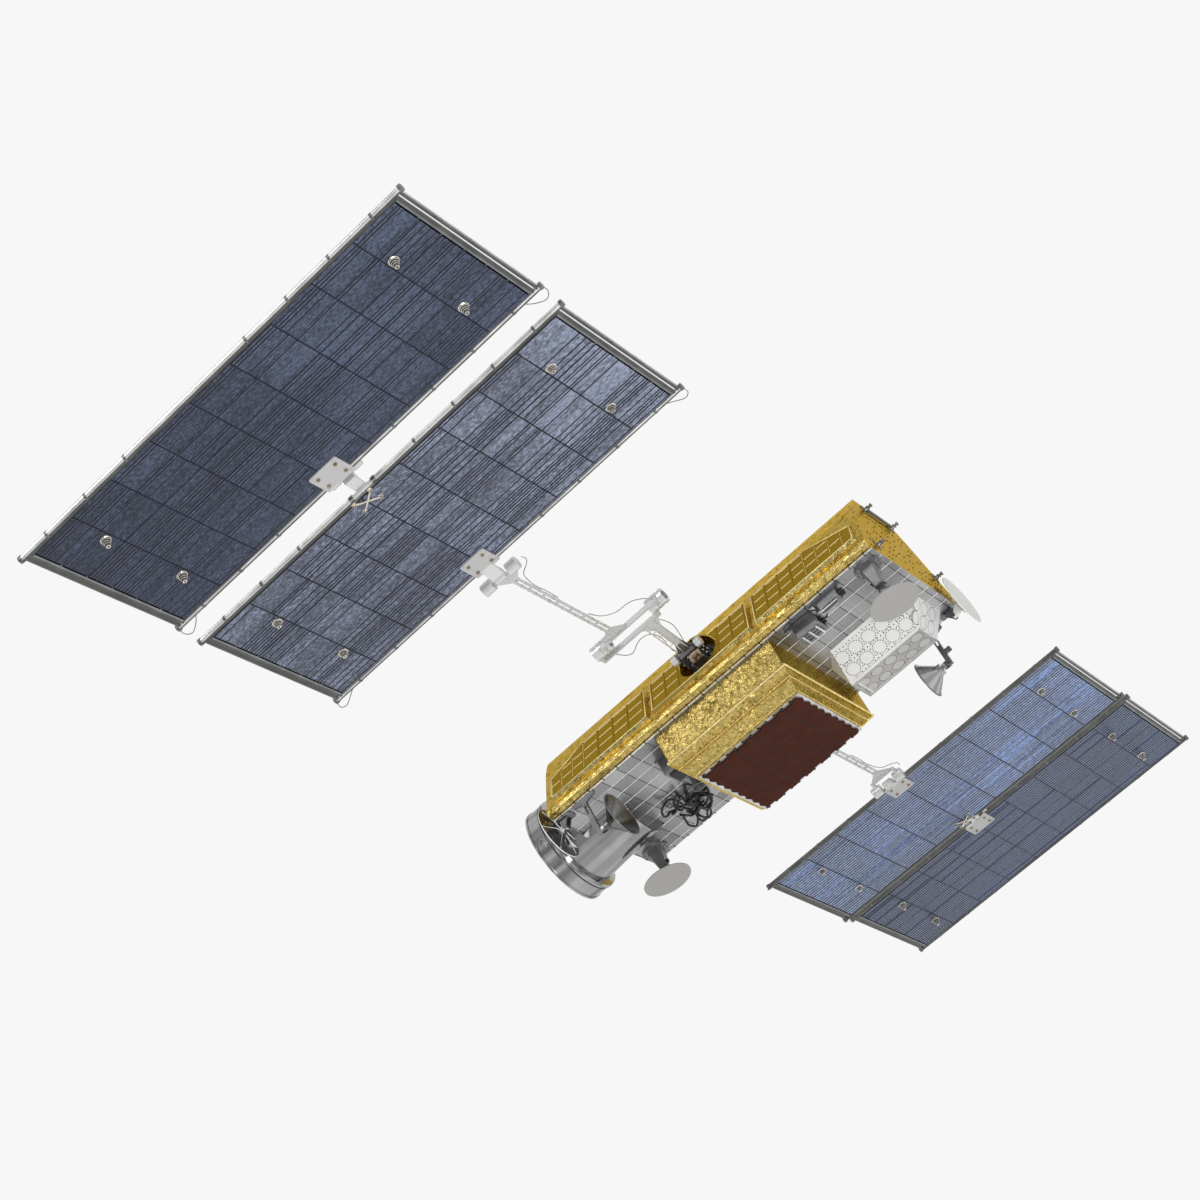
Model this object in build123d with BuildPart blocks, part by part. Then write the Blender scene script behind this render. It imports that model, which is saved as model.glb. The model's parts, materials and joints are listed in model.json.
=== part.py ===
"""Low-orbit communications satellite: foil-wrapped bus, two folding solar wings, deck antennas.

Frame: +X along the bus, +Z away from the antenna deck, wings along -Y and +Y.
The origin is on the wing plane at the middle of the bus. Millimetres.
"""
import os
from math import atan2, cos, degrees, hypot, pi, sin

from build123d import *

os.makedirs("parts", exist_ok=True)

# ------------------------------------------------------------------ bus
BUS_X0 = -1264                 # launch-ring end
BUS_X1 = 1279                  # bracket end
DECK_Z = -355                  # outer face of the antenna deck
DECK_T = 10
DECK_HALF_Y = 553
ROOF_Z = 215
ROOF_HALF_Y = 235
BEVEL_Z, BEVEL_Y = 100, 335    # where the roof bevel meets the side wall
SILL_Z, SILL_Y = -300, 600     # lowest, widest line of the side wall
SILL_DROP = 32                 # height of the upright strip under that line
SILL_FOOT_Y = 575
SILL_ROUND = 14
BLANKET_T = 24                 # how far the quilted panels stand off the wall
BLANKET_SINK = 5
BLANKET_Z0, BLANKET_Z1 = -255, 60
BLANKET_TAPER = 25             # slope of a panel's edges, degrees
BLANKETS = ((-950, -402), (-378, 428), (452, 900))   # first X, last X of each panel
QUILT_X, QUILT_ROWS = 112, 3   # pitch of the cross seams, rows along the wall
SEAM_W, SEAM_DEEP = 6, 3
BLANKET_BORDER = 26

# ------------------------------------------------------------------ wing drive and hinges
DRIVE_X, DRIVE_Z = 20, -85     # axis the wing turns about, parallel to Y
DRIVE_HOLE_R = 140
DRIVE_HOLE_Y = 280             # floor of the well
COLLAR_T, COLLAR_Y = 9, 470    # trim ring of the well
ROOT_Y, ROOT_Z = 605, -85      # fold axes, all parallel to X
MID_Y, MID_Z = 1025, 30
PANEL_HINGE_Y, PANEL_HINGE_Z = 2235, -35
TIP_HINGE_Y, TIP_HINGE_Z = 3560, 66

# ------------------------------------------------------------------ panels
RAIL_INNER_1, RAIL_OUTER_1 = 2355, 3453
RAIL_INNER_2, RAIL_OUTER_2 = 3602, 4700
RAIL_R = 16
RAIL_HALF_X = 1315
BOARD_HALF_X = 1272
BOARD_T = 20
PANEL_2_Z = 41                 # the outer panel's middle plane; the inner one's is zero
CELL_T = 3
CELL_MARGIN = 26
CELL_COLUMNS, CELL_ROWS = 9, 6
CELL_GAP, CELL_GAP_DEEP = 5, 1.5
HOLD_DOWN_X = 1005
HOLD_DOWN_IN = 279             # from each rail to the nearer row of hold-downs
HOLD_DOWN_R, HOLD_DOWN_TOP_R = 25, 15
HOLD_DOWN_H, HOLD_DOWN_BORE_R = 26, 8
CELL_CLEAR = 3                 # gap round whatever stands through the cells

# ------------------------------------------------------------------ main array
HOUSING_HALF_X = 460
HOUSING_Y0, HOUSING_Y1 = -530, 550
HOUSING_WALL_Z = -550
HOUSING_STEP_Z = -598          # between the two bands of the bevel
HOUSING_TOP_Z = -650
HOUSING_TOP_HALF_X, HOUSING_TOP_HALF_Y = 401, 390
HOUSING_BEAD = 5               # the bead that stands out between the bands
PLATE_T = 10
TILE_T = 12

# ------------------------------------------------------------------ launch ring
RING_Y, RING_Z = 0, -220
CONE_R0, CONE_R1 = 262, 290
CONE_X0, CONE_X1 = -960, -1425
RING_X0, RING_X1, RING_R = -1440, -1560, 335
RING_BORE_R, RING_BORE_DEEP = 300, 100
POCKET_GAP = 3


def wall_y(z):
    """Distance of the side wall from the middle plane at height z."""
    slope = (SILL_Y - BEVEL_Y) / (BEVEL_Z - SILL_Z)
    return SILL_Y - (z - SILL_Z) * slope


def wall_plane(side, x, z, lift=0.0):
    """Plane on a side wall: its x runs along the bus, its z points out of the wall."""
    rise = BEVEL_Z - SILL_Z
    lean = SILL_Y - BEVEL_Y
    outward = Vector(0, side * rise, lean).normalized()
    foot = Vector(x, side * wall_y(z), z)
    return Plane(origin=foot + outward * lift, x_dir=(1, 0, 0), z_dir=outward)


def through(first, second, third):
    """Plane through three points, given as (x, y, z)."""
    first, second, third = Vector(first), Vector(second), Vector(third)
    normal = (second - first).cross(third - first)
    return Plane(origin=first, z_dir=normal)


# ================================================================== bus body
with BuildPart() as bus_body:
    half = [(ROOF_HALF_Y, ROOF_Z), (BEVEL_Y, BEVEL_Z), (SILL_Y, SILL_Z),
            (SILL_Y, SILL_Z - SILL_DROP), (SILL_FOOT_Y, DECK_Z + DECK_T)]
    other = [(-y, z) for y, z in reversed(half)]
    with BuildSketch(Plane.YZ.offset(BUS_X0)) as bus_section:
        with BuildLine():
            Polyline(*half, *other, close=True)
        make_face()
        fillet(bus_section.vertices().filter_by(lambda v: abs(v.X) == SILL_Y), SILL_ROUND)
    extrude(amount=BUS_X1 - BUS_X0)
    # quilted blanket panels standing off each side wall
    blanket_z = (BLANKET_Z0 + BLANKET_Z1) / 2
    blanket_h = hypot(BLANKET_Z1 - BLANKET_Z0, wall_y(BLANKET_Z0) - wall_y(BLANKET_Z1))
    for side in (-1, 1):
        for x0, x1 in BLANKETS:
            mid_x = (x0 + x1) / 2
            with BuildSketch(wall_plane(side, mid_x, blanket_z, -BLANKET_SINK)):
                Rectangle(x1 - x0, blanket_h)
            extrude(amount=BLANKET_T + BLANKET_SINK, taper=BLANKET_TAPER)
            quilt_w = x1 - x0 - 2 * BLANKET_BORDER
            quilt_h = blanket_h - 2 * BLANKET_BORDER
            columns = round(quilt_w / QUILT_X)
            quilt_face = wall_plane(side, mid_x, blanket_z, BLANKET_T)
            with BuildSketch(quilt_face):
                with GridLocations(quilt_w / columns, 0, columns + 1, 1):
                    Rectangle(SEAM_W, quilt_h)
            extrude(amount=-SEAM_DEEP, mode=Mode.SUBTRACT)
            with BuildSketch(quilt_face):
                with GridLocations(0, quilt_h / QUILT_ROWS, 1, QUILT_ROWS + 1):
                    Rectangle(quilt_w, SEAM_W)
            extrude(amount=-SEAM_DEEP, mode=Mode.SUBTRACT)
    # wing drive wells with their trim rings
    for side in (-1, 1):
        well = Plane(origin=(DRIVE_X, side * DRIVE_HOLE_Y, DRIVE_Z), x_dir=(1, 0, 0),
                     z_dir=(0, side, 0))
        with BuildSketch(well):
            Circle(DRIVE_HOLE_R + COLLAR_T)
        extrude(amount=COLLAR_Y - DRIVE_HOLE_Y)
        with BuildSketch(well):
            Circle(DRIVE_HOLE_R)
        extrude(amount=SILL_Y, mode=Mode.SUBTRACT)
    # pocket for the launch cone
    with BuildSketch(Plane.YZ.offset(BUS_X0)):
        with Locations((RING_Y, RING_Z)):
            Circle(CONE_R1 + POCKET_GAP)
    extrude(amount=CONE_X0 - BUS_X0, mode=Mode.SUBTRACT)
bus_body.part.label = "bus_body"
export_step(bus_body.part, "parts/bus_body.step")

# ================================================================== antenna deck
TILE_PITCH_X, TILE_PITCH_Y = 125, 118
TILE_JOINT, TILE_JOINT_DEEP = 4, 1.5
AFT_JOINT_X = -630             # nearest cross joint to the array housing, aft
FORE_JOINT_X = 530             # and fore of it
LIP_W, LIP_H = 8, 6            # metal strip along the deck's long edges

with BuildPart() as antenna_deck:
    mid_x = (BUS_X0 + BUS_X1) / 2
    with BuildSketch(Plane.XY.offset(DECK_Z)):
        with Locations((mid_x, 0)):
            Rectangle(BUS_X1 - BUS_X0, 2 * DECK_HALF_Y)
    extrude(amount=DECK_T)
    # joints between the mirror tiles
    with BuildSketch(Plane.XY.offset(DECK_Z)):
        aft_joints = int((AFT_JOINT_X - BUS_X0) / TILE_PITCH_X)
        fore_joints = int((BUS_X1 - FORE_JOINT_X) / TILE_PITCH_X)
        for i in range(aft_joints + 1):
            with Locations((AFT_JOINT_X - i * TILE_PITCH_X, 0)):
                Rectangle(TILE_JOINT, 2 * DECK_HALF_Y)
        for i in range(fore_joints + 1):
            with Locations((FORE_JOINT_X + i * TILE_PITCH_X, 0)):
                Rectangle(TILE_JOINT, 2 * DECK_HALF_Y)
        rows = int(2 * DECK_HALF_Y / TILE_PITCH_Y)
        for i in range(1, rows + 1):
            y = i * TILE_PITCH_Y - DECK_HALF_Y
            for x0, x1 in ((BUS_X0, -HOUSING_HALF_X), (HOUSING_HALF_X, BUS_X1)):
                with Locations(((x0 + x1) / 2, y)):
                    Rectangle(x1 - x0, TILE_JOINT)
    extrude(amount=TILE_JOINT_DEEP, mode=Mode.SUBTRACT)
    with BuildSketch(Plane.YZ.offset(BUS_X0)):
        for side in (-1, 1):
            with Locations((side * (DECK_HALF_Y + LIP_W / 2), DECK_Z + LIP_H / 2)):
                Rectangle(LIP_W, LIP_H)
    extrude(amount=BUS_X1 - BUS_X0)
    with BuildSketch(Plane.YZ.offset(BUS_X0)):
        with Locations((RING_Y, RING_Z)):
            Circle(CONE_R1 + POCKET_GAP)
    extrude(amount=CONE_X0 - BUS_X0, mode=Mode.SUBTRACT)
antenna_deck.part.label = "antenna_deck"
export_step(antenna_deck.part, "parts/antenna_deck.step")

# ================================================================== launch cone and ring
RING_LIP, RING_LIP_W = 5, 14   # raised lips at both edges of the band
RING_GROOVE_W, RING_GROOVE_R = 12, 320
END_FLANGE, END_FLANGE_T = 6, 14

with BuildPart() as launch_cone:
    with BuildSketch(Plane.XZ):
        with BuildLine():
            Polyline((CONE_X0, RING_Z), (CONE_X0, RING_Z - CONE_R0 - END_FLANGE),
                     (CONE_X0 - END_FLANGE_T, RING_Z - CONE_R0 - END_FLANGE),
                     (CONE_X0 - END_FLANGE_T, RING_Z - CONE_R0),
                     (CONE_X1, RING_Z - CONE_R1),
                     (CONE_X1, RING_Z - RING_R + RING_LIP),
                     (CONE_X1 - RING_LIP_W, RING_Z - RING_R),
                     (RING_X0 - RING_LIP_W, RING_Z - RING_R),
                     (RING_X0 - RING_LIP_W, RING_Z - RING_GROOVE_R),
                     (RING_X0 - RING_LIP_W - RING_GROOVE_W, RING_Z - RING_GROOVE_R),
                     (RING_X0 - RING_LIP_W - RING_GROOVE_W, RING_Z - RING_R + RING_LIP),
                     (RING_X1 + RING_LIP_W, RING_Z - RING_R + RING_LIP),
                     (RING_X1 + RING_LIP_W, RING_Z - RING_R),
                     (RING_X1, RING_Z - RING_R), (RING_X1, RING_Z - RING_BORE_R),
                     (RING_X1 + RING_BORE_DEEP, RING_Z - RING_BORE_R),
                     (RING_X1 + RING_BORE_DEEP, RING_Z), close=True)
        make_face()
    revolve(axis=Axis((0, RING_Y, RING_Z), (1, 0, 0)))
launch_cone.part.label = "launch_cone"
export_step(launch_cone.part, "parts/launch_cone.step")

# ================================================================== main array
mid_y = (HOUSING_Y0 + HOUSING_Y1) / 2
# share of the bevel's inset that its outer band takes
STEP_SHARE = (HOUSING_WALL_Z - HOUSING_STEP_Z) / (HOUSING_WALL_Z - HOUSING_TOP_Z)
STEP_HALF_X = HOUSING_HALF_X + (HOUSING_TOP_HALF_X - HOUSING_HALF_X) * STEP_SHARE
STEP_Y0 = HOUSING_Y0 + (-HOUSING_TOP_HALF_Y - HOUSING_Y0) * STEP_SHARE
STEP_Y1 = HOUSING_Y1 + (HOUSING_TOP_HALF_Y - HOUSING_Y1) * STEP_SHARE
WALL_EDGE_ROUND = 12

with BuildPart() as array_housing:
    with BuildSketch(Plane.XY.offset(HOUSING_WALL_Z)):
        with Locations((0, mid_y)):
            RectangleRounded(2 * HOUSING_HALF_X, HOUSING_Y1 - HOUSING_Y0, WALL_EDGE_ROUND)
    extrude(amount=DECK_Z - HOUSING_WALL_Z)
    # outer band, bead, inner band: half length, first Y, last Y, height of both ends
    bands = (((HOUSING_HALF_X, HOUSING_Y0, HOUSING_Y1, HOUSING_WALL_Z),
              (STEP_HALF_X, STEP_Y0, STEP_Y1, HOUSING_STEP_Z)),
             ((STEP_HALF_X, STEP_Y0, STEP_Y1, HOUSING_STEP_Z),
              (HOUSING_TOP_HALF_X, -HOUSING_TOP_HALF_Y, HOUSING_TOP_HALF_Y, HOUSING_TOP_Z)))
    for band in bands:
        for half_x, y0, y1, z in band:
            with BuildSketch(Plane.XY.offset(z)):
                with Locations((0, (y0 + y1) / 2)):
                    Rectangle(2 * half_x, y1 - y0)
        loft()
    with BuildSketch(Plane.XY.offset(HOUSING_STEP_Z - HOUSING_BEAD)):
        with Locations((0, (STEP_Y0 + STEP_Y1) / 2)):
            Rectangle(2 * (STEP_HALF_X + HOUSING_BEAD), STEP_Y1 - STEP_Y0 + 2 * HOUSING_BEAD)
    extrude(amount=2 * HOUSING_BEAD)
array_housing.part.label = "array_housing"
export_step(array_housing.part, "parts/array_housing.step")

# The radiating tiles lie in columns along Y, whose borders run in steps.
ARRAY_MID_Y = 23
ARRAY_HALF_X, ARRAY_HALF_Y = 382, 374
ARRAY_COLUMNS = 6
STEP_PITCH, STEP_DEEP = 83, 20
SCALLOP_DEEP = 16
ARRAY_JOINT_W, ARRAY_JOINT_DEEP = 4, 2
PLATE_MARGIN = 14


def stepped_edge(x, y0, y1, deep):
    """Points of a stepped line along Y: each tooth leans out slowly and drops back at once."""
    teeth = max(1, round((y1 - y0) / STEP_PITCH))
    pitch = (y1 - y0) / teeth
    points = []
    for tooth in range(teeth):
        points.append((x, y0 + tooth * pitch))
        points.append((x + deep, y0 + (tooth + 0.72) * pitch))
    points.append((x, y1))
    return points


def scalloped_edge(y, x0, x1, deep):
    """Points of a line along X with one shallow trapezium for each tile column."""
    pitch = (x1 - x0) / ARRAY_COLUMNS
    points = []
    for column in range(ARRAY_COLUMNS):
        start = x0 + column * pitch
        points.append((start + 0.14 * pitch, y + deep))
        points.append((start + 0.62 * pitch, y + deep))
        points.append((start + 0.80 * pitch, y))
        points.append((start + 0.98 * pitch, y))
    return points


with BuildPart() as array_plate:
    with BuildSketch(Plane.XY.offset(HOUSING_TOP_Z - PLATE_T)):
        with Locations((0, ARRAY_MID_Y)):
            Rectangle(2 * (ARRAY_HALF_X + PLATE_MARGIN), 2 * (ARRAY_HALF_Y + PLATE_MARGIN))
    extrude(amount=PLATE_T)
array_plate.part.label = "array_plate"
export_step(array_plate.part, "parts/array_plate.step")

with BuildPart() as array_tiles:
    y0, y1 = ARRAY_MID_Y - ARRAY_HALF_Y, ARRAY_MID_Y + ARRAY_HALF_Y
    with BuildSketch(Plane.XY.offset(HOUSING_TOP_Z - PLATE_T - TILE_T)):
        far_x = ARRAY_HALF_X - STEP_DEEP
        low_edge = scalloped_edge(y0, -ARRAY_HALF_X, far_x, SCALLOP_DEEP)
        high_edge = scalloped_edge(y1, -ARRAY_HALF_X, far_x, -SCALLOP_DEEP)
        right_edge = stepped_edge(far_x, y0, y1, STEP_DEEP)
        left_edge = stepped_edge(-ARRAY_HALF_X, y0, y1, STEP_DEEP)
        outline = low_edge + right_edge + list(reversed(high_edge)) + list(reversed(left_edge))
        with BuildLine():
            Polyline(*outline, close=True)
        make_face()
    extrude(amount=TILE_T)
    # shallow joints between the columns follow the same steps
    with BuildSketch(Plane.XY.offset(HOUSING_TOP_Z - PLATE_T - TILE_T)):
        for column in range(1, ARRAY_COLUMNS):
            x = -ARRAY_HALF_X + column * (far_x + ARRAY_HALF_X) / ARRAY_COLUMNS
            joint = stepped_edge(x, y0, y1, STEP_DEEP)
            shifted = [(px + ARRAY_JOINT_W, py) for px, py in reversed(joint)]
            with BuildLine():
                Polyline(*joint, *shifted, close=True)
            make_face()
    extrude(amount=ARRAY_JOINT_DEEP, mode=Mode.SUBTRACT)
array_tiles.part.label = "array_tiles"
export_step(array_tiles.part, "parts/array_tiles.step")

# ================================================================== patch antenna box
PATCH_FOOT_X0, PATCH_FOOT_X1 = 500, 1190
PATCH_FOOT_Y0, PATCH_FOOT_Y1 = -11, 455
PATCH_Z = -500
PATCH_TOP_X0, PATCH_TOP_X1 = 540, 1080
PATCH_TOP_Y0, PATCH_TOP_Y1 = 208, 440
PATCH_CORNER_X, PATCH_CORNER_Y = 100, 185   # how much of each foot corner the facets take
RIDGE_W, RIDGE_H = 16, 6       # raised rim round the facets

PATCH_MID = Vector((PATCH_TOP_X0 + PATCH_TOP_X1) / 2, (PATCH_TOP_Y0 + PATCH_TOP_Y1) / 2,
                   (PATCH_Z + DECK_Z) / 2)
with BuildPart() as patch_box:
    with BuildSketch(Plane.XY.offset(PATCH_Z)):
        with Locations(((PATCH_FOOT_X0 + PATCH_FOOT_X1) / 2,
                        (PATCH_FOOT_Y0 + PATCH_FOOT_Y1) / 2)):
            Rectangle(PATCH_FOOT_X1 - PATCH_FOOT_X0, PATCH_FOOT_Y1 - PATCH_FOOT_Y0)
    extrude(amount=DECK_Z - PATCH_Z)
    # foot X, foot Y, top X, top Y of each corner
    corners = [(PATCH_FOOT_X0, PATCH_FOOT_Y0, PATCH_TOP_X0, PATCH_TOP_Y0),
               (PATCH_FOOT_X1, PATCH_FOOT_Y0, PATCH_TOP_X1, PATCH_TOP_Y0),
               (PATCH_FOOT_X1, PATCH_FOOT_Y1, PATCH_TOP_X1, PATCH_TOP_Y1),
               (PATCH_FOOT_X0, PATCH_FOOT_Y1, PATCH_TOP_X0, PATCH_TOP_Y1)]
    cuts = []
    for here, there in zip(corners, corners[1:] + corners[:1]):
        cuts.append(through((here[0], here[1], DECK_Z), (there[0], there[1], DECK_Z),
                            (here[2], here[3], PATCH_Z)))
    for foot_x, foot_y, top_x, top_y in corners[:2]:
        inward = 1 if foot_x == PATCH_FOOT_X0 else -1
        cuts.append(through((foot_x + inward * PATCH_CORNER_X, foot_y, DECK_Z),
                            (foot_x, foot_y + PATCH_CORNER_Y, DECK_Z), (top_x, top_y, PATCH_Z)))
    for cut in cuts:
        inside = (PATCH_MID - cut.origin).dot(cut.z_dir) > 0
        split(bisect_by=cut, keep=Keep.TOP if inside else Keep.BOTTOM)
    # raised rim round the lowest facet
    with BuildSketch(Plane.XY.offset(PATCH_Z - RIDGE_H)):
        with Locations((PATCH_MID.X, PATCH_MID.Y)):
            Rectangle(PATCH_TOP_X1 - PATCH_TOP_X0, PATCH_TOP_Y1 - PATCH_TOP_Y0)
            Rectangle(PATCH_TOP_X1 - PATCH_TOP_X0 - 2 * RIDGE_W,
                      PATCH_TOP_Y1 - PATCH_TOP_Y0 - 2 * RIDGE_W, mode=Mode.SUBTRACT)
    extrude(amount=RIDGE_H)
patch_box.part.label = "patch_box"
export_step(patch_box.part, "parts/patch_box.step")

# ================================================================== deck units
UNIT_FOOT_T, UNIT_FOOT_EDGE = 8, 12
UNIT_RIB_W, UNIT_RIB_H = 10, 6
SIDE_UNIT_L, SIDE_UNIT_CLEAR = 120, 25   # its gap to the array housing
# name, middle X, middle Y, length, width, height below the deck, ribs along the lid
UNITS = (
    ("receiver_unit", 672, -395, 190, 150, 80, 3),
    ("filter_unit", 880, -478, 170, 96, 60, 2),
    ("side_unit", -HOUSING_HALF_X - SIDE_UNIT_CLEAR - SIDE_UNIT_L / 2, -235, SIDE_UNIT_L, 200, 110, 3),
)
for name, unit_x, unit_y, length, width, height, ribs in UNITS:
    with BuildPart() as unit:
        with BuildSketch(Plane.XY.offset(DECK_Z - UNIT_FOOT_T)):
            with Locations((unit_x, unit_y)):
                Rectangle(length, width)
        extrude(amount=UNIT_FOOT_T)
        with BuildSketch(Plane.XY.offset(DECK_Z - height)):
            with Locations((unit_x, unit_y)):
                RectangleRounded(length - 2 * UNIT_FOOT_EDGE, width - 2 * UNIT_FOOT_EDGE, 8)
        extrude(amount=height - UNIT_FOOT_T)
        chamfer(unit.faces().sort_by(Axis.Z)[0].edges(), 5)
        # stiffening ribs along the lid
        with BuildSketch(Plane.XY.offset(DECK_Z - height - UNIT_RIB_H)):
            with Locations((unit_x, unit_y)):
                with GridLocations(0, (width - 4 * UNIT_FOOT_EDGE) / ribs, 1, ribs):
                    Rectangle(length - 5 * UNIT_FOOT_EDGE, UNIT_RIB_W)
        extrude(amount=UNIT_RIB_H)
        if name == "filter_unit":
            # round head at the fore end
            head = Plane(origin=(unit_x + length / 2 - 30, unit_y, DECK_Z - height),
                         z_dir=(0, 0, -1))
            with BuildSketch(head):
                Circle(26)
            with BuildSketch(head.offset(22)):
                Circle(20)
            loft()
    unit.part.label = name
    export_step(unit.part, f"parts/{name}.step")

SIDE_HORN_X, SIDE_HORN_Y = -560, 20
SIDE_HORN_MOUTH_R, SIDE_HORN_THROAT_R, SIDE_HORN_FOOT_R = 44, 26, 42
SIDE_HORN_H, SIDE_HORN_THROAT_H, SIDE_HORN_FOOT_T = 112, 60, 8
SIDE_HORN_WALL = 5
with BuildPart() as side_horn:
    with BuildSketch(Plane.XZ.offset(-SIDE_HORN_Y)):
        # half section: foot, throat, flare, then the inside back up
        with BuildLine():
            foot_z, throat_z = DECK_Z - SIDE_HORN_FOOT_T, DECK_Z - SIDE_HORN_THROAT_H
            mouth_z = DECK_Z - SIDE_HORN_H
            Polyline((SIDE_HORN_X, DECK_Z), (SIDE_HORN_X + SIDE_HORN_FOOT_R, DECK_Z),
                     (SIDE_HORN_X + SIDE_HORN_FOOT_R, foot_z),
                     (SIDE_HORN_X + SIDE_HORN_THROAT_R, foot_z),
                     (SIDE_HORN_X + SIDE_HORN_THROAT_R, throat_z),
                     (SIDE_HORN_X + SIDE_HORN_MOUTH_R, mouth_z),
                     (SIDE_HORN_X + SIDE_HORN_MOUTH_R - SIDE_HORN_WALL, mouth_z),
                     (SIDE_HORN_X + SIDE_HORN_THROAT_R - SIDE_HORN_WALL, throat_z),
                     (SIDE_HORN_X, throat_z + SIDE_HORN_FOOT_T), close=True)
        make_face()
    revolve(axis=Axis((SIDE_HORN_X, SIDE_HORN_Y, 0), (0, 0, 1)))
side_horn.part.label = "side_horn"
export_step(side_horn.part, "parts/side_horn.step")

# Stiff cables lie in loops beside the array and end in two plugs each.
CABLE_R = 7
CABLE_BEND = 26
CABLE_FOOT_T = 5
# first X, first Y, how far the loop reaches in X and in Y, height of its crown below the deck
CABLE_LOOPS = (
    (-690, 120, -62, 150, 44),
    (-720, 60, -70, 120, 62),
    (-650, 190, -36, 70, 30),
)
with BuildPart() as cable_loops:
    for x, y, reach_x, reach_y, crown in CABLE_LOOPS:
        with BuildLine() as run:
            FilletPolyline((x, y, DECK_Z - CABLE_FOOT_T), (x, y, DECK_Z - crown),
                           (x + reach_x, y + reach_y / 2, DECK_Z - crown),
                           (x, y + reach_y, DECK_Z - crown),
                           (x, y + reach_y, DECK_Z - CABLE_FOOT_T), radius=CABLE_BEND / 2)
        with BuildSketch(Plane((x, y, DECK_Z - CABLE_FOOT_T), z_dir=(0, 0, -1))):
            Circle(CABLE_R)
        sweep(path=run.line)
    loop_x0 = min(x + min(reach_x, 0) for x, y, reach_x, reach_y, crown in CABLE_LOOPS)
    loop_x1 = max(x for x, y, reach_x, reach_y, crown in CABLE_LOOPS)
    loop_y0 = min(y for x, y, reach_x, reach_y, crown in CABLE_LOOPS)
    loop_y1 = max(y + reach_y for x, y, reach_x, reach_y, crown in CABLE_LOOPS)
    with BuildSketch(Plane.XY.offset(DECK_Z - CABLE_FOOT_T)):
        with Locations(((loop_x0 + loop_x1) / 2, (loop_y0 + loop_y1) / 2)):
            RectangleRounded(loop_x1 - loop_x0 + 4 * CABLE_R, loop_y1 - loop_y0 + 4 * CABLE_R,
                             CABLE_R)
    extrude(amount=CABLE_FOOT_T)
cable_loops.part.label = "cable_loops"
export_step(cable_loops.part, "parts/cable_loops.step")

# ================================================================== steerable dishes on gimbals
GIMBAL_X, GIMBAL_Y = 1171, 433
GIMBAL_TURN_Z = -505           # where the head turns on the tower
GIMBAL_TILT_Z = -560           # height of each dish's tilt axis
FLANGE_R, FLANGE_T = 88, 14
TOWER_FOOT, TOWER_HEAD = (104, 88), (54, 54)
TOWER_CHAMFER = 7
HEAD_R, HEAD_T = 36, 9
GIMBAL_GAP = 1
CHEEK_T, CHEEK_W, CHEEK_GAP = 9, 30, 42
DISH_R, DISH_T = 160, 6
DISH_Z = -612
DISH_SHIFT_Y = 60              # the dish hangs to one side of its gimbal
DISH_HUB_R, DISH_HUB_H = 52, 12
STALK = (38, 24)

for tag, turn in (("a", 1), ("d", -1)):
    gx = turn * GIMBAL_X
    gy = turn * -GIMBAL_Y
    with BuildPart() as gimbal_base:
        with BuildSketch(Plane((gx, gy, DECK_Z), z_dir=(0, 0, -1))):
            Circle(FLANGE_R)
        extrude(amount=FLANGE_T)
        with BuildSketch(Plane((gx, gy, DECK_Z - FLANGE_T), z_dir=(0, 0, -1))) as tower_foot:
            Rectangle(*TOWER_FOOT)
            chamfer(tower_foot.vertices(), 2 * TOWER_CHAMFER)
        with BuildSketch(Plane((gx, gy, GIMBAL_TURN_Z + GIMBAL_GAP), z_dir=(0, 0, -1))) as tower_head:
            Rectangle(*TOWER_HEAD)
            chamfer(tower_head.vertices(), TOWER_CHAMFER)
        loft()
    gimbal_base.part.label = f"gimbal_{tag}_base"
    export_step(gimbal_base.part, f"parts/gimbal_{tag}_base.step")

    with BuildPart() as gimbal_fork:
        with BuildSketch(Plane((gx, gy, GIMBAL_TURN_Z), z_dir=(0, 0, -1))):
            Circle(HEAD_R)
        extrude(amount=HEAD_T)
        for side in (-1, 1):
            inner_face = gx + side * CHEEK_GAP / 2
            with BuildSketch(Plane.YZ.offset(inner_face)):
                with Locations((gy, (GIMBAL_TURN_Z - HEAD_T + GIMBAL_TILT_Z) / 2)):
                    Rectangle(CHEEK_W, GIMBAL_TURN_Z - HEAD_T - GIMBAL_TILT_Z)
                with Locations((gy, GIMBAL_TILT_Z)):
                    Circle(CHEEK_W / 2)
            extrude(amount=side * CHEEK_T)
    gimbal_fork.part.label = f"gimbal_{tag}_fork"
    export_step(gimbal_fork.part, f"parts/gimbal_{tag}_fork.step")

    with BuildPart() as dish:
        dish_y = gy + turn * DISH_SHIFT_Y
        with BuildSketch(Plane((gx, dish_y, DISH_Z), z_dir=(0, 0, -1))):
            Circle(DISH_R)
        extrude(amount=DISH_T)
        # shallow hub and the arm that leads to the tilt axis
        with BuildSketch(Plane((gx, dish_y, DISH_Z))):
            Circle(DISH_HUB_R)
        extrude(amount=DISH_HUB_H, taper=35)
        with BuildSketch(Plane.YZ.offset(gx)):
            with BuildLine():
                Polyline((gy - turn * STALK[1] / 2, GIMBAL_TILT_Z),
                         (gy + turn * STALK[1] / 2, GIMBAL_TILT_Z),
                         (dish_y + turn * STALK[1], DISH_Z), (gy - turn * STALK[1] / 2, DISH_Z),
                         close=True)
            make_face()
            with Locations((gy, GIMBAL_TILT_Z)):
                Circle(STALK[1] / 2)
        extrude(amount=STALK[0] / 2, both=True)
    dish.part.label = f"dish_{tag}"
    export_step(dish.part, f"parts/dish_{tag}.step")

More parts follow.
